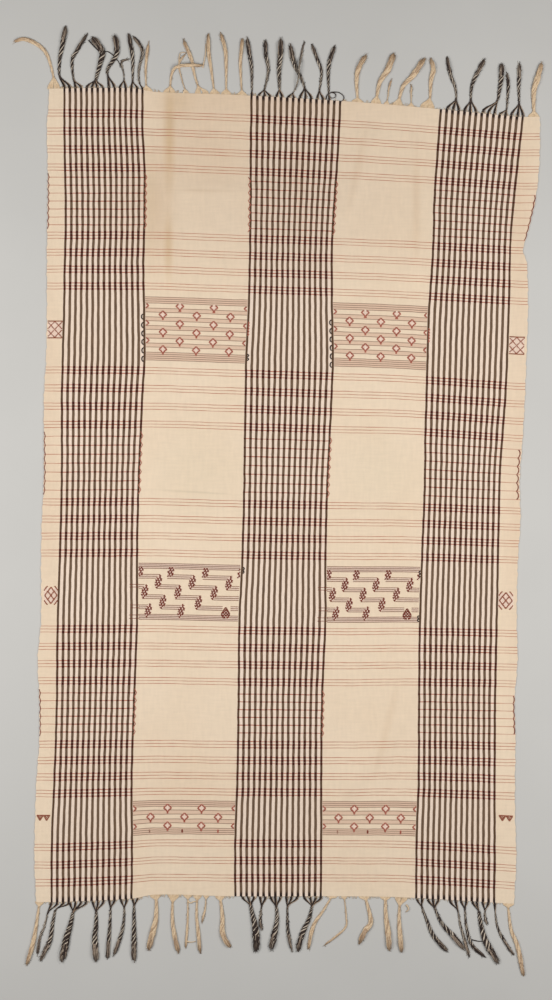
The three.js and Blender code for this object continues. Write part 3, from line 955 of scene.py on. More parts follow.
@dataclass(frozen=True)
class YarnFinish:
    """Dyed cotton yarn, softly spun and matte, uneven in colour and handled darker at loose tips."""

    name: str
    colour: str
    worn: str
    tip: str
    roughness: float = 0.9

    def material(self) -> bpy.types.Material:
        """Mixes the yarn's colours by its fibres and by how near its tip is.

        Returns:
            The yarn's material.
        """
        material, tree = new_material(self.name)
        where = add_node(tree, "TexCoord").outputs["Object"]
        fibres = add_node(tree, "TexNoise", {"Vector": where, "Scale": 240.0, "Detail": 3.0})
        tone = add_node(tree, "MapRange", [fibres, 0.3, 0.7, 0.0, 1.0])
        yarn = add_node(tree, "Mix", [tone, linear(self.colour), linear(self.worn)], data_type="RGBA")
        uv = add_node(tree, "SeparateXYZ", [add_node(tree, "UVMap", uv_map=BAKE_MAP)])
        near_tip = add_node(tree, "MapRange", [uv.outputs["Y"], 0.62, 0.92, 0.0, 0.7])
        dyed = add_node(tree, "Mix", [near_tip, yarn, linear(self.tip)], data_type="RGBA")
        bump = add_node(tree, "Bump", {"Height": fibres, "Strength": 0.4, "Distance": 0.0004})
        shader = add_node(tree, "BsdfPrincipled", {
            "Base Color": dyed, "Roughness": self.roughness, "Normal": bump,
            "Specular IOR Level": 0.12, "Sheen Weight": 0.06, "Sheen Roughness": 0.6,
        })
        add_node(tree, "OutputMaterial", [shader])
        return material


YARNS = {
    Dye.CREAM: YarnFinish("cotton_yarn_undyed_handspun", "#e3cdae", "#cfb391", "#ab8a68"),
    # Tan yarn: soiled cotton, and among a cream strand's plies the painted shade of its twist.
    Dye.TAN: YarnFinish("cotton_yarn_undyed_soiled_and_twist_shade", "#c3a88c", "#a88c72", "#8a6f58"),
    Dye.BLACK: YarnFinish("cotton_yarn_black_dyed_faded", "#241c1a", "#40342f", "#54463f"),
    Dye.RED: YarnFinish("cotton_yarn_red_brocading_weft", "#a65241", "#c47a66", "#c47a66"),
    Dye.PINK: YarnFinish("cotton_yarn_pink_brocading_weft", "#ffe2cf", "#ffead9", "#ffead9"),
    Dye.BROWN: YarnFinish("cotton_yarn_brown_brocading_weft", "#9c7460", "#b38d78", "#b38d78"),
    Dye.RUSSET: YarnFinish("cotton_yarn_russet_brocading_weft", "#6f2a1c", "#8f4431", "#8f4431"),
    Dye.GREY: YarnFinish("cotton_yarn_undyed_greyed", "#dccfbe", "#b0a28f", "#5f5147"),
    Dye.BRICK: YarnFinish("cotton_yarn_brick_brocading_weft", "#93513b", "#ab6b54", "#ab6b54"),
    Dye.DUN: YarnFinish("cotton_yarn_undyed_frayed", "#ab9a88", "#7b6a5d", "#5f5147"),
}


@functools.cache
def yarn_material(dye: Dye) -> bpy.types.Material:
    """The material of one dye's yarn, made when it is first wanted."""
    return YARNS[dye].material()


@dataclass(frozen=True)
class PaperFinish:
    """Matte backdrop paper, pale grey, that bounces soft light."""

    colour: str = "#c5c4c1"
    roughness: float = 0.95

    def material(self) -> bpy.types.Material:
        """Tints the paper a little by its fibres.

        Returns:
            The paper's material.
        """
        material, tree = new_material("matte_backdrop_paper_pale_grey")
        where = add_node(tree, "TexCoord").outputs["Object"]
        fibre = add_node(tree, "TexNoise", {"Vector": where, "Scale": 3.0, "Detail": 4.0})
        tone = add_node(tree, "MapRange", [fibre, 0.3, 0.7, 0.98, 1.02])
        shades = [1.0, linear(self.colour), tone]
        tinted = add_node(tree, "Mix", shades, data_type="RGBA", blend_type="MULTIPLY")
        shader = add_node(tree, "BsdfPrincipled", {
            "Base Color": tinted, "Roughness": self.roughness, "Specular IOR Level": 0.1,
        })
        add_node(tree, "OutputMaterial", [shader])
        return material


def deselect() -> None:
    """Leaves nothing selected."""
    bpy.ops.object.select_all(action="DESELECT")


def only(piece: bpy.types.Object) -> None:
    """Leaves one piece selected and active.

    Args:
        piece: The piece.
    """
    deselect()
    piece.select_set(True)
    bpy.context.view_layer.objects.active = piece


def coordinates(mesh: bpy.types.Mesh) -> np.ndarray:
    """Reads where a mesh's vertices are.

    Args:
        mesh: The mesh.

    Returns:
        Their places, one row each.
    """
    flat = np.empty(len(mesh.vertices) * 3)
    mesh.vertices.foreach_get("co", flat)
    return flat.reshape(-1, 3)


def corner_vertices(mesh: bpy.types.Mesh) -> np.ndarray:
    """Reads which vertex each face corner of a mesh is at.

    Args:
        mesh: The mesh.

    Returns:
        The number of the vertex, for each corner.
    """
    corners = np.empty(len(mesh.loops), int)
    mesh.loops.foreach_get("vertex_index", corners)
    return corners


def set_maps(mesh: bpy.types.Mesh, maps: dict[str, np.ndarray]) -> None:
    """Gives a mesh its own maps, in place of any that it came with.

    Args:
        mesh: The mesh.
        maps: Where each vertex is on the map of each name.
    """
    corners = corner_vertices(mesh)
    for old in list(mesh.uv_layers):
        mesh.uv_layers.remove(old)
    for name, places in maps.items():
        mesh.uv_layers.new(name=name).data.foreach_set("uv", places[corners].ravel())


def lay_down(piece: bpy.types.Object, node: str | None) -> None:
    """Fastens a finished piece to the part.

    Args:
        piece: The piece.
        node: The solid that it stands for, if any.
    """
    if node:
        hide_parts(node)
    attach(piece, "root")
    LOG.info("%s: %d triangles", piece.name, sum(len(p.vertices) - 2 for p in piece.data.polygons))


@dataclass
class WovenCloth:
    """The cloth itself: one thin sheet, from selvedge to selvedge and from fringe to fringe."""

    finish: HandwovenCotton = field(default_factory=HandwovenCotton)
    # Columns between the eight places across, and rows up the cloth.
    columns: tuple[int, ...] = (6, 28, 30, 30, 28, 28, 6)
    rows: int = 238
    ripple: float = 0.9
    ripple_reach: float = 12.0
    smooth_angle: float = 50.0

    def build(self) -> bpy.types.Object:
        """Lays out the grid, moves it to where the cloth lies and gives it its thickness.

        Returns:
            The cloth.
        """
        count = sum(self.columns)
        deselect()
        bpy.ops.mesh.primitive_grid_add(x_subdivisions=count, y_subdivisions=self.rows, size=2.0)
        cloth = bpy.context.object
        cloth.name = cloth.data.name = "woven_cloth"
        grid = coordinates(cloth.data)
        steps = np.concatenate([
            np.linspace(low, high, n, endpoint=False)
            for low, high, n in zip(WARP.places[:-1], WARP.places[1:], self.columns)
        ] + [[WARP.right]])
        place = steps[np.rint((grid[:, 0] + 1) / 2 * count).astype(int)]
        level = CLOTH_BOTTOM + (grid[:, 1] + 1) / 2 * (CLOTH_TOP - CLOTH_BOTTOM)
        x, y = lie(place, level)
        x += self.scallop(place, level)
        cloth.data.vertices.foreach_set("co", (np.stack([x, y, lift(x, y)], 1) * MM).ravel())
        # The bake map fills its picture with the cloth, from corner to corner.
        shares = [place / WARP.right, (level - CLOTH_BOTTOM) / (CLOTH_TOP - CLOTH_BOTTOM)]
        set_maps(cloth.data, {WOVEN_MAP: np.stack([place, level], 1) * MM, BAKE_MAP: np.stack(shares, 1)})
        only(cloth)
        solid = cloth.modifiers.new("thickness", "SOLIDIFY")
        solid.thickness = CLOTH_THICKNESS * MM
        solid.offset = 1.0
        bpy.ops.object.modifier_apply(modifier=solid.name)
        bpy.ops.object.shade_smooth_by_angle(angle=math.radians(self.smooth_angle))
        cloth.data.materials.append(self.finish.material())
        return cloth

    def scallop(self, place: np.ndarray, level: np.ndarray) -> np.ndarray:
        """The selvedges' small scallops, where each weft turns.

        Args:
            place: The woven place of each point.
            level: The level of each point.

        Returns:
            How far each point moves across.
        """
        left = np.exp(-((place - WARP.left) / self.ripple_reach) ** 2)
        right = np.exp(-((place - WARP.right) / self.ripple_reach) ** 2)
        wave = np.sin(level / 3.3) + 0.7 * np.sin(level / 8.1 + 1.0)
        return self.ripple * wave * (left - right)


@dataclass
class Yarn:
    """One length of yarn: its points, its thickness at each, its dye, and how flat it is pressed."""

    points: np.ndarray
    thickness: np.ndarray
    dye: Dye
    flatness: float = 1.0


@dataclass
class YarnWork:
    """Turns lengths of yarn into one mesh, each a closed tube, with a strip of the bake map for each dye.

    A tube has 4 or 6 sides. map_edge is how much of its strip is left free at each side. lowest is
    the least height of a yarn on the floor, and lowest_in_cloth that of one that dips into the cloth.
    """

    name: str
    sides: int = 6
    map_edge: float = 0.08
    lowest: float = 0.1
    lowest_in_cloth: float = -10.0
    yarns: list[Yarn] = field(default_factory=list)

    def add(
        self, points: Sequence, thickness: float | Sequence[float], dye: Dye, flatness: float = 1.0
    ) -> None:
        """Adds a length of yarn, in millimetres.

        Args:
            points: Its points.
            thickness: Its thickness, all along or at each point.
            dye: Its dye.
            flatness: Its height as a share of its width.
        """
        course = np.asarray(points, float)
        wide = np.broadcast_to(np.asarray(thickness, float), (len(course),))
        self.yarns.append(Yarn(course, wide, dye, flatness))

    def build(self, place: Callable[[np.ndarray], np.ndarray] | None = None) -> bpy.types.Object:
        """Makes the mesh.

        Args:
            place: What moves the finished points, in millimetres, to where they lie.

        Returns:
            The piece.
        """
        curve = bpy.data.curves.new(self.name, "CURVE")
        curve.dimensions = "3D"
        curve.twist_mode = "MINIMUM"
        curve.bevel_depth = 1.0
        curve.bevel_resolution = (self.sides - 4) // 2
        for yarn in self.yarns:
            spline = curve.splines.new("POLY")
            spline.points.add(len(yarn.points) - 1)
            # The tube is round here. Its height is pressed in below, about the yarn's own middle.
            homogeneous = np.column_stack([yarn.points, np.ones(len(yarn.points))])
            spline.points.foreach_set("co", homogeneous.ravel())
            spline.points.foreach_set("radius", yarn.thickness / 2)
            spline.use_smooth = True
        piece = bpy.data.objects.new(self.name, curve)
        bpy.context.scene.collection.objects.link(piece)
        only(piece)
        bpy.ops.object.convert(target="MESH")
        piece = bpy.context.object
        piece.name = piece.data.name = self.name
        self.press(piece.data, place)
        self.dress(piece.data)
        bpy.ops.object.mode_set(mode="EDIT")
        bpy.ops.mesh.select_all(action="SELECT")
        bpy.ops.mesh.fill_holes(sides=0)
        bpy.ops.mesh.select_all(action="SELECT")
        bpy.ops.mesh.normals_make_consistent(inside=False)
        bpy.ops.object.mode_set(mode="OBJECT")
        return piece

    def press(self, mesh: bpy.types.Mesh, place: Callable[[np.ndarray], np.ndarray] | None) -> None:
        """Presses each tube flat about its own middle and moves it to where it lies.

        Args:
            mesh: The converted mesh.
            place: What moves the finished points, in millimetres.
        """
        points = coordinates(mesh)
        sides = len(points) // sum(len(y.points) for y in self.yarns)
        middle = np.repeat(np.concatenate([y.points[:, 2] for y in self.yarns]), sides)
        flat = np.repeat(np.concatenate([np.full(len(y.points), y.flatness) for y in self.yarns]), sides)
        points[:, 2] = middle + (points[:, 2] - middle) * flat
        points[:, 2] = np.maximum(points[:, 2], self.lowest_in_cloth if place else self.lowest)
        if place:
            points = place(points)
        mesh.vertices.foreach_set("co", (points * MM).ravel())
        mesh.update()

    def dress(self, mesh: bpy.types.Mesh) -> None:
        """Gives each dye its material slot and its own strip of the bake map.

        Args:
            mesh: The converted mesh.
        """
        dyes = sorted({y.dye for y in self.yarns}, key=lambda dye: dye.value)
        mesh.materials.clear()
        for dye in dyes:
            mesh.materials.append(yarn_material(dye))
        sides = len(mesh.vertices) // sum(len(y.points) for y in self.yarns)
        slot = np.repeat([dyes.index(y.dye) for y in self.yarns], [len(y.points) * sides for y in self.yarns])
        along = np.repeat(np.concatenate([np.linspace(0, 1, len(y.points)) for y in self.yarns]), sides)
        around = np.tile(np.arange(sides) / sides, len(along) // sides)
        starts = np.empty(len(mesh.polygons), int)
        mesh.polygons.foreach_get("loop_start", starts)
        slots = slot[corner_vertices(mesh)[starts]]
        mesh.polygons.foreach_set("material_index", slots.astype(np.int32))
        edge = self.map_edge
        strip = (slot + edge + (1 - 2 * edge) * around) / len(dyes)
        set_maps(mesh, {BAKE_MAP: np.stack([strip, edge + (1 - 2 * edge) * along], 1)})


def on_cloth(points: np.ndarray) -> np.ndarray:
    """Moves woven points, with their height over the cloth's face, to where they lie."""
    x, y = lie(points[:, 0], points[:, 1])
    return np.column_stack([x, y, lift(x, y) + CLOTH_THICKNESS + points[:, 2]])


@dataclass(frozen=True)
class Figure:
    """A small brocaded figure: its size, and a rule that says where its yarn shows on the face."""

    width: float
    height: float
    shows: Callable[[float, float], bool]

    def floats(self, pick: float, step: float = 0.7) -> list[tuple[float, float, float]]:
        """The floats that draw the figure, pick by pick.

        Args:
            pick: How far apart its weft picks lie.
            step: How closely the rule is tried along a pick.

        Returns:
            Level, start and end of each float, from the figure's middle.
        """
        found = []
        picks = round(self.height / pick)
        tries = round(self.width / step)
        for p in range(picks + 1):
            y = (p / picks - 0.5) * self.height
            start = None
            for s in range(tries + 2):
                x = (s / tries - 0.5) * self.width
                inked = s <= tries and self.shows(x, y)
                if inked and start is None:
                    start = x
                if not inked and start is not None:
                    found.append((y, start - step / 2, x - step / 2))
                    start = None
        return found


# The diamonds' half width and half height, how far their middle is raised, and half their line's width
# in shares of them. Then the same halves of the lattice star, and the leaf's half length and lean.
DIAMOND = (9.0, 8.6)
DIAMOND_RISE = 0.8
DIAMOND_LINE = 0.17
STAR = (15.5, 19.5)
LEAF_HALF = 16.5
LEAF_LEAN = 0.22


def rhomb(x: float, y: float, half_x: float, half_y: float) -> float:
    """How far out a point is in an upright diamond: 0 in its middle and 1 on its outline."""
    return abs(x) / half_x + abs(y) / half_y


def hatched(x: float, y: float, pitch: float, shift: float, width: float) -> bool:
    """Whether a point is on one of two sets of slanting lines that cross."""
    return min((x + y + shift) % pitch, (x - y + shift) % pitch) < width


def diamond(x: float, y: float) -> bool:
    """A diamond outline with a short tail under it."""
    tail = -12.4 < y < -8 and abs(x) < 1.1
    return tail or abs(rhomb(x, y - DIAMOND_RISE, *DIAMOND) - 1) < DIAMOND_LINE


def diamond_heart(x: float, y: float) -> bool:
    """The inside of a diamond."""
    return rhomb(x, y - DIAMOND_RISE, *DIAMOND) < 0.85


def cut_diamond(x: float, y: float) -> bool:
    """A diamond without its top, on a small cross."""
    cross = -12 < y < -7 and abs(abs(x) - abs(y + 9.5)) < 1.3
    return cross or (y < 5.4 and abs(rhomb(x, y - DIAMOND_RISE, *DIAMOND) - 1) < DIAMOND_LINE)


def tick(x: float, y: float) -> bool:
    """A short upright mark, where a diamond was begun."""
    return abs(x) < 1.2 - 0.1 * y


def leaf(x: float, y: float) -> bool:
    """A slanting leaf, pointed at both ends and crossed both ways."""
    lean, half = x - y * LEAF_LEAN, 7.2 * (1 - (abs(y) / LEAF_HALF) ** 3)
    return abs(lean) <= half and (abs(lean) > half - 0.9 or hatched(lean, y * 0.62, 6.8, 40, 1.7))


def leaf_ground(x: float, y: float) -> bool:
    """The pale ground inside a leaf."""
    return abs(x - y * LEAF_LEAN) < 6.6 * (1 - (abs(y) / LEAF_HALF) ** 3)


def drop(x: float, y: float) -> bool:
    """A hatched drop, pointed at the top.

    Args:
        x: Place across, from its middle.
        y: Place up, from its middle.

    Returns:
        Whether its yarn shows there.
    """
    foot = 10.5 * math.sqrt(max(0.0, 1 - ((y + 3.5) / 10.5) ** 2))
    half = foot if y < -1 else 10.2 * max(0.0, (15 - y) / 16)
    return abs(x) <= half and (abs(x) > half - 1.4 or hatched(x, y, 7.2, 72, 2.0))


def drop_ground(x: float, y: float) -> bool:
    """The pale ground inside a drop."""
    return math.hypot(x, y + 3.5) < 9.0


def lattice_box(x: float, y: float) -> bool:
    """A lattice of large diamonds between a line above and a line below."""
    return abs(y) > 20 or hatched(x, y, 19.5, 60, 2.0)


def lattice_star(x: float, y: float) -> bool:
    """A large crossed diamond between four quarters.

    Args:
        x: Place across, from its middle.
        y: Place up, from its middle.

    Returns:
        Whether its yarn shows there.
    """
    ring = abs(rhomb(x, y, *STAR) - 1) < 0.075
    cross = abs(abs(x) / STAR[0] - abs(y) / STAR[1]) < 0.07 and abs(x) < 9
    quarter = abs(rhomb(abs(x) - 17, abs(y) - 22, *STAR) - 0.5) < 0.07 and abs(x) > 6
    return ring or cross or quarter


def field_of_box(x: float, y: float) -> bool:
    """The pale ground of a margin figure."""
    return abs(x) < 17.5 and abs(y) < 19


def hanging_triangles(x: float, y: float) -> bool:
    """A line with two small hatched triangles hanging from it."""
    away, half = abs((x + 16) % 16 - 8), (y + 7) * 0.62
    return y > 4.6 or (away < half and (away > half - 2.2 or (x + y) % 4.5 < 1.6))


@dataclass(frozen=True)
class Brocade:
    """Brocading weft: extra yarn that floats on the face in short picks and turns at the bands.

    pick is how far apart the picks lie. proud is how far the middle of a float stands over the face,
    dip how far past its ends it goes down, and shortest the least length that is drawn.
    """

    pick: float = 2.3
    thickness: float = 2.5
    flatness: float = 0.32
    proud: float = 0.65
    dip: float = 0.7
    # The dyes of the floats that lie under the figures, and how far they stand out.
    ground_dyes: tuple[Dye, ...] = (Dye.PINK, Dye.BROWN)
    ground_proud: float = 0.15
    pink_share: float = 0.95
    bar_thickness: float = 1.9
    end_thickness: float = 1.3
    zigzag_thickness: float = 1.7
    loop_thickness: float = 2.2
    black_loop_thickness: float = 2.8
    turn_flatness: float = 0.6
    shortest: float = 0.8
    panel_margin: float = 4.5

    def float_over(
        self, work: YarnWork, level: float, start: float, end: float, dye: Dye, thickness: float
    ) -> None:
        """Adds one float, whose two ends dip into the cloth.

        Args:
            work: What the yarn goes into.
            level: Its level up the cloth.
            start: Where it comes up.
            end: Where it goes down.
            dye: Its dye.
            thickness: How thick it is.
        """
        low = -self.proud
        proud = self.ground_proud if dye in self.ground_dyes else self.proud
        inner = max(2, 1 + round((end - start) / 14))
        top = [(x, level, proud) for x in np.linspace(start, end, inner)]
        points = [(start - self.dip, level, low), *top, (end + self.dip, level, low)]
        work.add(points, [thickness * 0.6, *[thickness] * inner, thickness * 0.6], dye, self.flatness)

    def bar(self, work: YarnWork, levels: Sequence[float], start: float, end: float) -> None:
        """Adds a bar of picks that are brown and pink by turns."""
        for k, level in enumerate(levels):
            self.float_over(work, level, start, end, Dye.PINK if k % 2 else Dye.BROWN, self.bar_thickness)

    def stamp(
        self, work: YarnWork, figure: Figure, at: tuple[float, float], dye: Dye, keep: tuple[float, float]
    ) -> None:
        """Lays one figure.

        Args:
            work: What the yarn goes into.
            figure: The figure.
            at: Where its middle is, across and up the cloth.
            dye: Its dye.
            keep: The places between which it shows.
        """
        thickness = self.thickness * (self.pink_share if dye is Dye.PINK else 1.0)
        for y, start, end in figure.floats(self.pick):
            low, high = max(at[0] + start, keep[0]), min(at[0] + end, keep[1])
            if high - low > self.shortest:
                self.float_over(work, at[1] + y, low, high, dye, thickness)

    def diamonds(self) -> bpy.types.Object:
        """The red diamonds of the four diamond panels.

        Returns:
            The piece.
        """
        whole, cut, heart = (Figure(20.0, 27.0, rule) for rule in (diamond, cut_diamond, diamond_heart))
        work = YarnWork("diamond_brocade", sides=4)
        for rows in DIAMOND_PANELS:
            for left, right in WARP.panels:
                inside = (left + self.panel_margin, right - self.panel_margin)
                for r, level in enumerate(rows.diamonds.levels):
                    figure = cut if r == 0 and rows.top_row_cut else whole
                    for share in DIAMOND_PLACES[r % 2]:
                        at = (left + (right - left) * share, level)
                        self.stamp(work, heart, at, Dye.PINK, inside)
                        self.stamp(work, figure, at, Dye.RED, inside)
        for left, right in WARP.panels:
            for share, dye in FOOT_TICKS:
                at = (left + (right - left) * share, FOOT_TICK_LEVEL)
                self.stamp(work, Figure(3.0, 6.0, tick), at, dye, (left, right))
        return work.build(on_cloth)

    def keys(self) -> bpy.types.Object:
        """The stepped bars and hatched leaves of the two key panels.

        Returns:
            The piece.
        """
        work = YarnWork("key_brocade", sides=4)
        steps = [(p - (KEY_BAR_PICKS - 1) / 2) * KEY_BAR_STEP for p in range(KEY_BAR_PICKS)]
        for left, right in WARP.panels:
            inside = (left + self.panel_margin, right - self.panel_margin)
            wide = right - left
            for level, length in KEY_ENDS:
                self.float_over(work, level, left - length, left + 5.0, Dye.RUSSET, self.end_thickness)
            for edge in (KEY_HEAD, KEY_FOOT):
                self.bar(work, edge.levels, *inside)
            for level, bars in zip(KEY_ROWS.levels, KEY_BARS):
                for start, end in bars:
                    low = max(inside[0], left + wide * start)
                    high = min(inside[1], left + wide * end)
                    self.bar(work, [level + step for step in steps], low, high)
            for row, (level, shares) in enumerate(KEY_LEAVES):
                height = KEY_LEAF if row else KEY_TOP_LEAF
                for share in shares:
                    for rule, dye in ((leaf_ground, Dye.PINK), (leaf, Dye.RUSSET)):
                        figure = Figure(KEY_LEAF_WIDTH, height, rule)
                        self.stamp(work, figure, (left + wide * share, level), dye, inside)
            for rule, dye in ((drop_ground, Dye.PINK), (drop, Dye.RUSSET)):
                at = (left + wide * KEY_DROP[0], KEY_DROP[1])
                self.stamp(work, Figure(24.0, 29.0, rule), at, dye, inside)
        return work.build(on_cloth)

    def margins(self) -> bpy.types.Object:
        """The red figures in the two margins.

        Returns:
            The piece.
        """
        work = YarnWork("margin_brocade", sides=4)
        figures = {
            "box": Figure(36.0, 41.0, lattice_box),
            "star": Figure(33.0, 43.0, lattice_star),
            "triangles": Figure(31.0, 13.0, hanging_triangles),
        }
        ground = Figure(36.0, 39.0, field_of_box)
        stripe = HandwovenCotton.edge_stripe_half
        for name, place, level in MARGIN_FIGURES:
            inside = (WARP.left + 1, WARP.l_first - stripe)
            if place > WARP.l_first:
                inside = (WARP.r_last + stripe, WARP.right - 1)
            if name != "triangles":
                self.stamp(work, ground, (place, level), Dye.PINK, inside)
            self.stamp(work, figures[name], (place, level), Dye.BRICK, inside)
        return work.build(on_cloth)

    def turns(self) -> bpy.types.Object:
        """The weft's turns that show: zigzags down the bands' edges, small loops and ladder turns.

        Returns:
            The piece.
        """
        work = YarnWork("weft_turns", sides=4)
        for place, zone, swing, dye in ZIGZAGS:
            points = []
            for s in range(zone.count * 2 + 1):
                side = swing if s % 2 else -swing
                points.append((place + side, zone.first + zone.pitch / 2 - zone.pitch * s / 2, self.proud))
            work.add(points, self.zigzag_thickness, dye, self.turn_flatness)
        for place, first, pitch, count, dye, reach, open_share in EDGE_LOOPS:
            thickness = self.black_loop_thickness if dye is Dye.BLACK else self.loop_thickness
            for middle in Bars(first, pitch, count).levels:
                loop = [
                    (place + reach * math.sin(a), middle + pitch * open_share * math.cos(a), self.proud)
                    for a in np.linspace(0.15, math.pi - 0.15, 6)
                ]
                work.add(loop, thickness, dye, self.turn_flatness)
        return work.build(on_cloth)


def bezier(points: Sequence[np.ndarray], count: int) -> np.ndarray:
    """Points along a cubic Bezier curve.

    Args:
        points: Its four points.
        count: How many points are wanted.

    Returns:
        The points, one row each.
    """
    t = np.linspace(0, 1, count)[:, None]
    p0, p1, p2, p3 = (np.asarray(p, float) for p in points)
    return (1 - t) ** 3 * p0 + 3 * (1 - t) ** 2 * t * p1 + 3 * (1 - t) * t**2 * p2 + t**3 * p3


def curve_through(points: np.ndarray, each: int = 14) -> np.ndarray:
    """A smooth course through points.

    Args:
        points: The points that it passes.
        each: How many points stand for each stretch.

    Returns:
        The course's points.
    """
    course = []
    last = len(points) - 1
    for i in range(last):
        p0, p1, p2, p3 = points[max(i - 1, 0)], points[i], points[i + 1], points[min(i + 2, last)]
        v0, v1 = (p2 - p0) / 2, (p3 - p1) / 2
        cubed, squared = 2 * p1 - 2 * p2 + v0 + v1, 3 * p2 - 3 * p1 - 2 * v0 - v1
        for t in np.linspace(0, 1, each, endpoint=False):
            course.append(cubed * t**3 + squared * t * t + v0 * t + p1)
    course.append(points[last])
    return np.array(course)


def lengths_along(course: np.ndarray) -> np.ndarray:
    """How far along a course each of its points is."""
    return np.concatenate([[0], np.cumsum(np.linalg.norm(np.diff(course, axis=0), axis=1))])


def points_along(course: np.ndarray, at: np.ndarray) -> np.ndarray:
    """The points that are so far along a course."""
    lengths = lengths_along(course)
    return np.column_stack([np.interp(at, lengths, course[:, k]) for k in range(course.shape[1])])


@dataclass(frozen=True)
class Course:
    """Where a strand lies, with an entry for each point from its neck to its tip.

    at is how far from the root, centre its middle, run and side its two directions, half its half
    width, base the height of its underside, tall its own height, and left how far the tip is.
    """

    at: np.ndarray
    centre: np.ndarray
    run: np.ndarray
    side: np.ndarray
    half: np.ndarray
    base: np.ndarray
    tall: np.ndarray
    left: np.ndarray


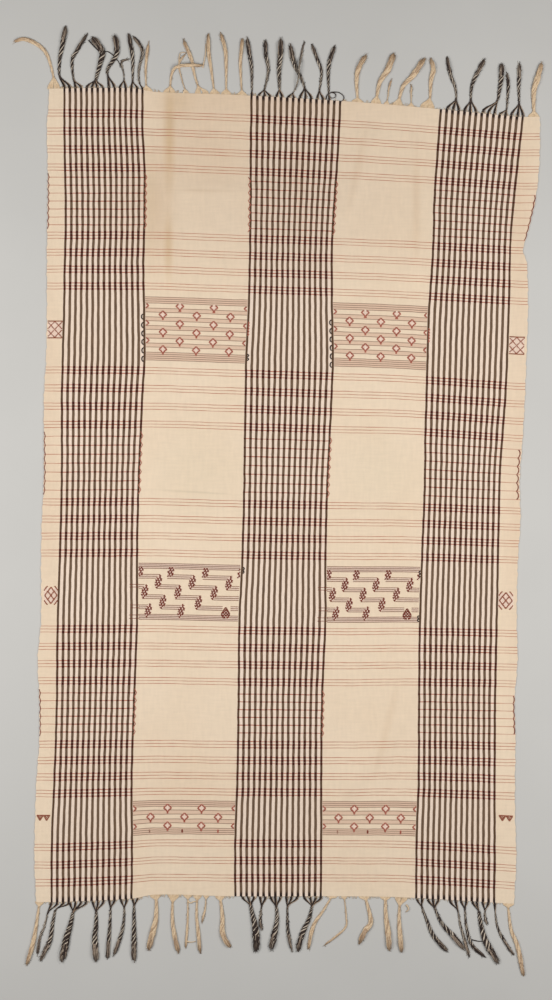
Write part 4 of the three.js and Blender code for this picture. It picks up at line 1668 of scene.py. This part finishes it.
@dataclass
class Fringe:
    """The warp ends of one end of the cloth, gathered, plied into strands and frayed at their tips.

    level is the end's level and out the way that its strands lie, 1 up the cloth or -1 down it. lay and
    cream_lay are how far along a yarn of a dark or a cream strand goes once round, and step is how
    far apart a course's points are. brush is how long a frayed end is, at most brush_share of its
    strand, and taper how much shorter its outer ends are. flatness is a strand's height as a share of
    its width, between min_height and max_height, and hop_lift how far it rises over another. hairs is
    the number of fibres that stand out from a strand, and fuzz that of the short ends between strands.
    """

    name: str
    node: str
    level: float
    out: float
    rows: list[Strand]
    strays: tuple
    seed: int
    lay: float = 27.0
    cream_lay: float = 48.0
    step: float = 3.6
    brush: float = 38.0
    brush_share: float = 0.33
    taper: float = 9.0
    flatness: float = 0.5
    min_height: float = 2.6
    max_height: float = 7.0
    hop_lift: float = 6.0
    hop_reach: float = 0.3
    winding_ring: float = 0.70
    tip_yarn: float = 2.5
    hairs: int = 9
    fuzz: int = 230
    fuzz_thickness: tuple[float, ...] = (1.3, 1.0, 0.5)
    hair_thickness: tuple[float, ...] = (0.9, 0.8, 0.4)
    brush_thickness: tuple[float, float] = (2.3, 1.0)
    loose_flatness: float = 0.8
    leg_flatness: float = 0.7
    stray_step: float = 4.0
    stray_tip: float = 0.45

    def build(self) -> bpy.types.Object:
        """Lays every strand, the loose ends along the cloth and the stray yarns.

        Returns:
            The fringe.
        """
        self.dice = random.Random(self.seed)
        work = YarnWork(self.name, sides=6)
        for strand in self.rows:
            course = self.trace(strand)
            brush = min(self.brush, self.brush_share * course.left[0])
            necks = self.ply(work, strand, course, brush)
            self.lay_brush(work, strand, course, brush)
            self.lay_hairs(work, strand, course)
            self.lay_legs(work, strand, course, necks)
        self.lay_fuzz(work)
        for dye, thickness, points in self.strays:
            spots = np.array([(x, y, thickness / 2 + 0.3) for x, y in points])
            dense = curve_through(spots)
            whole = lengths_along(dense)[-1]
            rounded = points_along(dense, np.linspace(0, whole, max(3, round(whole / self.stray_step) + 1)))
            thinning = np.linspace(1.0, self.stray_tip, len(rounded))
            work.add(rounded, thinning * thickness, dye, self.loose_flatness)
        return work.build()

    def edge(self, x: float) -> float:
        """The y of this end of the cloth at x."""
        return self.level + float(sag(np.array([self.level]), np.array([x]))[0])

    def trace(self, strand: Strand) -> Course:
        """Finds where a strand lies.

        Args:
            strand: The strand.

        Returns:
            Its course, from its neck to its tip.
        """
        foot = np.array([strand.root, self.edge(strand.root)])
        marks = [(0, 0), strand.knee, strand.bend, strand.tip]
        dense = curve_through(np.array([foot + (side, self.out * away) for side, away in marks]))
        whole = lengths_along(dense)[-1]
        at = np.linspace(strand.neck, whole, max(8, round((whole - strand.neck) / self.step)) + 1)
        centre = points_along(dense, at)
        run = np.gradient(centre, axis=0)
        run /= np.linalg.norm(run, axis=1)[:, None]
        half = strand.wide * smooth(WIDTHS_AT, WIDTHS, (at - strand.neck) / (whole - strand.neck)) / 2
        over = np.zeros_like(at)
        if strand.hop:
            over = np.clip(2 * np.clip(1 - np.abs(at / whole - strand.hop) / self.hop_reach, 0, None), 0, 1)
        return Course(
            at=at, centre=centre, run=run, side=np.column_stack([run[:, 1], -run[:, 0]]), half=half,
            base=self.hop_lift * over, left=whole - at,
            tall=np.clip(2 * half * self.flatness, self.min_height, self.max_height),
        )

    def ply(
        self, work: YarnWork, strand: Strand, course: Course, brush: float
    ) -> list[tuple[np.ndarray, Dye]]:
        """Winds the yarns of a strand round its core, and lets them go side by side at its tip.

        Args:
            work: What the yarn goes into.
            strand: The strand.
            course: Where it lies.
            brush: How long its frayed end is.

        Returns:
            Where each yarn starts, and its dye.
        """
        dice = self.dice
        dark = strand.kind is Kind.DARK
        at, half, tall = course.at, course.half, course.tall
        tight = np.clip(course.left / brush, 0, 1)
        t = (at - strand.neck) / (at[-1] - strand.neck)
        lay = (self.lay if dark else self.cream_lay) * dice.uniform(0.85, 1.2)
        turn = dice.uniform(0, math.tau) - math.tau * (at - strand.neck) / (lay * (0.8 + 0.5 * t))
        flat = float(np.clip(tall.mean() / (2 * half.mean()), 0.45, 1.1))
        pale = dice.choice(DARK_PALES)
        mixed = [Dye.GREY if k in pale else Dye.BLACK for k in range(WINDING + 1)]
        necks = []
        for k, dye in enumerate(mixed if dark else CREAM_PLIES):
            core = k == 0
            own = turn + math.tau * k / WINDING + 0.3 * np.sin(at / dice.uniform(5, 11) + dice.uniform(0, 6))
            ring = 0.0 if core else self.winding_ring
            spread = dice.uniform(-0.85, 0.85)
            sideways = half * (ring * np.cos(own) * tight + spread * (1 - tight))
            points = course.centre + course.side * sideways[:, None]
            z = course.base + tall / 2 * (1 + ring * 0.8 * np.sin(own) * tight - (0.2 if core else 0.0))
            share = CORE_SHARE if core else PLY_SHARES[dye]
            uneven = np.array([dice.uniform(0.78, 1.2) for _ in at])
            loose = np.minimum(self.tip_yarn, 0.5 * half) * (1 - tight)
            wide = (2 * half * share * tight + loose) * uneven
            wide[-1] *= 0.35
            yarn = np.column_stack([points, z])
            yarn[-1, :2] += course.run[-1] * dice.uniform(-5, 2)
            # The outer yarns of the frayed end are shorter, so that it tapers.
            kept = len(yarn) - round(2.6 * abs(spread))
            work.add(yarn[:kept], wide[:kept], dye, flat)
            necks.append((yarn[0], dye))
        return necks

    def lay_brush(self, work: YarnWork, strand: Strand, course: Course, brush: float) -> None:
        """Frays the tip of a strand into loose ends.

        Args:
            work: What the yarn goes into.
            strand: The strand.
            course: Where it lies.
            brush: How long its frayed end is.
        """
        dice = self.dice
        ends = np.flatnonzero(course.left <= brush * 1.15)
        dark = strand.kind is Kind.DARK
        for _ in range(max(8, round(strand.wide * 1.4))):
            place = dice.uniform(-0.95, 0.95)
            flare = dice.uniform(-0.35, 0.35)
            rise = dice.uniform(0.25, 0.95)
            reach = dice.uniform(-4, 5) - self.taper * abs(place)
            picked = ends[np.unique(np.linspace(0, len(ends) - 1, 6).astype(int))]
            share = np.linspace(0, 1, len(picked))
            offset = course.half[picked] * (place * (0.5 + 0.5 * share) + flare * share**2)
            points = course.centre[picked] + course.side[picked] * offset[:, None]
            points = points + course.run[picked] * (reach * share)[:, None]
            z = course.base[picked] + course.tall[picked] * (0.55 + (rise - 0.5) * (1 - 0.4 * share))
            pale = Dye.DUN if dark else dice.choice((Dye.CREAM, Dye.TAN))
            dye = Dye.BLACK if dark and dice.random() < 0.5 else pale
            thinning = np.linspace(*self.brush_thickness, len(picked))
            work.add(np.column_stack([points, z]), thinning, dye, self.loose_flatness)

    def lay_hairs(self, work: YarnWork, strand: Strand, course: Course) -> None:
        """Lets a few fine fibres stand out from a strand.

        Args:
            work: What the yarn goes into.
            strand: The strand.
            course: Where it lies.
        """
        dice = self.dice
        dark = strand.kind is Kind.DARK
        for _ in range(self.hairs):
            i = dice.randrange(1, len(course.centre) - 1)
            way = dice.choice((-1, 1))
            reach = dice.uniform(1.5, 4.5)
            slide = dice.uniform(3, 9)
            points = []
            for share in (0.0, 0.5, 1.0):
                aside = course.side[i] * way * (course.half[i] * 0.7 + reach * share**1.6)
                spot = course.centre[i] + aside + course.run[i] * slide * share
                points.append((*spot, course.base[i] + 1.6 - 1.0 * share))
            dye = Dye.BLACK if dark and dice.random() < 0.6 else Dye.GREY
            work.add(points, self.hair_thickness, dye)

    def lay_legs(
        self, work: YarnWork, strand: Strand, course: Course, necks: Sequence[tuple[np.ndarray, Dye]]
    ) -> None:
        """Brings the warp bundles from the end of the cloth to the neck of a strand.

        Args:
            work: What the yarn goes into.
            strand: The strand.
            course: Where it lies.
            necks: Where each of its yarns starts, and its dye.
        """
        beyond = min(len(course.centre) - 1, 2)
        for place, dye in [(leg + s, dye) for leg in strand.legs for s, dye in LEG_YARNS[strand.kind]]:
            x = strand.root + place
            edge = self.edge(x)
            black = dye is Dye.BLACK
            mates = [spot for spot, own in necks if (own is Dye.BLACK) == black] or [necks[0][0]]
            goal = np.array(self.dice.choice(mates))
            goal[:2] = goal[:2] * 0.5 + course.centre[beyond] * 0.5
            reach = math.hypot(goal[0] - x, goal[1] - edge)
            base = np.array([x, edge - self.out * 1.6, 0.8])
            first = base + np.array([0, self.out * 0.42 * reach, 0.5])
            second = goal - np.array([*(course.run[0] * 0.4 * reach), 0.2])
            thickness = LEG_THICKNESS[dye] * self.dice.uniform(0.85, 1.15)
            work.add(bezier((base, first, second, goal), 6), thickness, dye, self.leg_flatness)

    def lay_fuzz(self, work: YarnWork) -> None:
        """Lays the short ends that stand along the edge between the strands.

        Args:
            work: What the yarn goes into.
        """
        dice = self.dice
        for _ in range(self.fuzz):
            place = dice.uniform(2, WARP.right - 2)
            x = float(across(np.array([place]), np.array([self.level]))[0])
            edge = self.edge(x)
            reach = dice.uniform(2.0, 7.5)
            lean = dice.uniform(-3.0, 3.0)
            points = [
                (x, edge - self.out * 1.2, 0.9),
                (x + lean * 0.4, edge + self.out * reach * 0.55, 1.4),
                (x + lean, edge + self.out * reach, 0.8),
            ]
            work.add(points, self.fuzz_thickness, Dye.CREAM, self.loose_flatness)


@dataclass(frozen=True)
class Studio:
    """A copy stand: pale paper, a soft light at each side, and a camera straight above.

    Its sizes are in metres, apart from the picture's.
    """

    image_height: int = 1000
    mm_per_pixel: float = 2.4
    centre_mm: tuple[float, float] = (-14.4, -7.2)
    camera_height: float = 6.0
    sensor: float = 36.0
    clip_end: float = 50.0
    paper: PaperFinish = field(default_factory=PaperFinish)
    paper_size: float = 14.0
    light_place: tuple[float, float, float] = (1.9, 0.05, 2.0)
    light_size: tuple[float, float] = (1.5, 1.9)
    light_power: float = 51.3
    light_colour: tuple[float, float, float] = (1.0, 0.985, 0.965)
    fill: float = 0.165
    fill_colour: tuple[float, float, float, float] = (1.0, 0.995, 0.985, 1.0)

    def build(self) -> None:
        """Lays the paper, hangs the lights and sets the camera."""
        deselect()
        bpy.ops.mesh.primitive_plane_add(size=self.paper_size, location=(0, 0, 0))
        paper = bpy.context.object
        paper.name = "paper"
        paper.data.materials.append(self.paper.material())
        self.hang_light("softbox_left", -1)
        self.hang_light("softbox_right", 1)
        self.light_room()
        self.set_camera()

    def hang_light(self, name: str, side: int) -> None:
        """Hangs a soft light, turned to the middle of the cloth.

        Args:
            name: The light's name.
            side: -1 for the left and 1 for the right.
        """
        x, y, z = self.light_place
        deselect()
        bpy.ops.object.light_add(type="AREA", location=(side * x, y, z))
        lamp = bpy.context.object
        lamp.name = name
        lamp.data.shape = "RECTANGLE"
        lamp.data.size, lamp.data.size_y = self.light_size
        lamp.data.energy = self.light_power
        lamp.data.color = self.light_colour
        lamp.rotation_euler = (0, side * math.atan2(x, z), 0)

    def light_room(self) -> None:
        """Fills the shadows with a soft, even light from all round."""
        world = bpy.data.worlds.new("white_room")
        world.use_nodes = True
        world.node_tree.nodes.clear()
        sky = add_node(world.node_tree, "Background", [self.fill_colour, self.fill])
        add_node(world.node_tree, "OutputWorld", [sky])
        bpy.context.scene.world = world
        bpy.context.scene.view_settings.view_transform = "Standard"
        bpy.context.scene.view_settings.look = "None"

    def set_camera(self) -> None:
        """Sets a long lens straight above the cloth, with its top at the top of the picture."""
        deselect()
        seen = self.image_height * self.mm_per_pixel * MM
        x, y = (c * MM for c in self.centre_mm)
        bpy.ops.object.camera_add(location=(x, y, self.camera_height), rotation=(0, 0, 0))
        camera = bpy.context.object
        camera.name = "camera_above"
        camera.data.sensor_width = self.sensor
        camera.data.lens = self.sensor * self.camera_height / seen
        camera.data.clip_end = self.clip_end
        bpy.context.scene.camera = camera


def main() -> None:
    logging.basicConfig(level=logging.INFO, format="%(name)s: %(message)s")
    Studio().build()
    cloth = WovenCloth().build()
    lay_down(cloth, "cloth")
    brocade = Brocade()
    trims = [brocade.diamonds(), brocade.keys(), brocade.margins(), brocade.turns()]
    for trim in trims:
        lay_down(trim, None)
    ends = []
    for fringe in (
        Fringe("top_fringe", "fringe_top", CLOTH_TOP, 1.0, TOP_STRANDS, TOP_STRAYS, seed=11),
        Fringe("bottom_fringe", "fringe_bottom", CLOTH_BOTTOM, -1.0, BOTTOM_STRANDS, BOTTOM_STRAYS, seed=23),
    ):
        ends.append(fringe.build())
        lay_down(ends[-1], fringe.node)


if __name__ == "__main__":
    main()
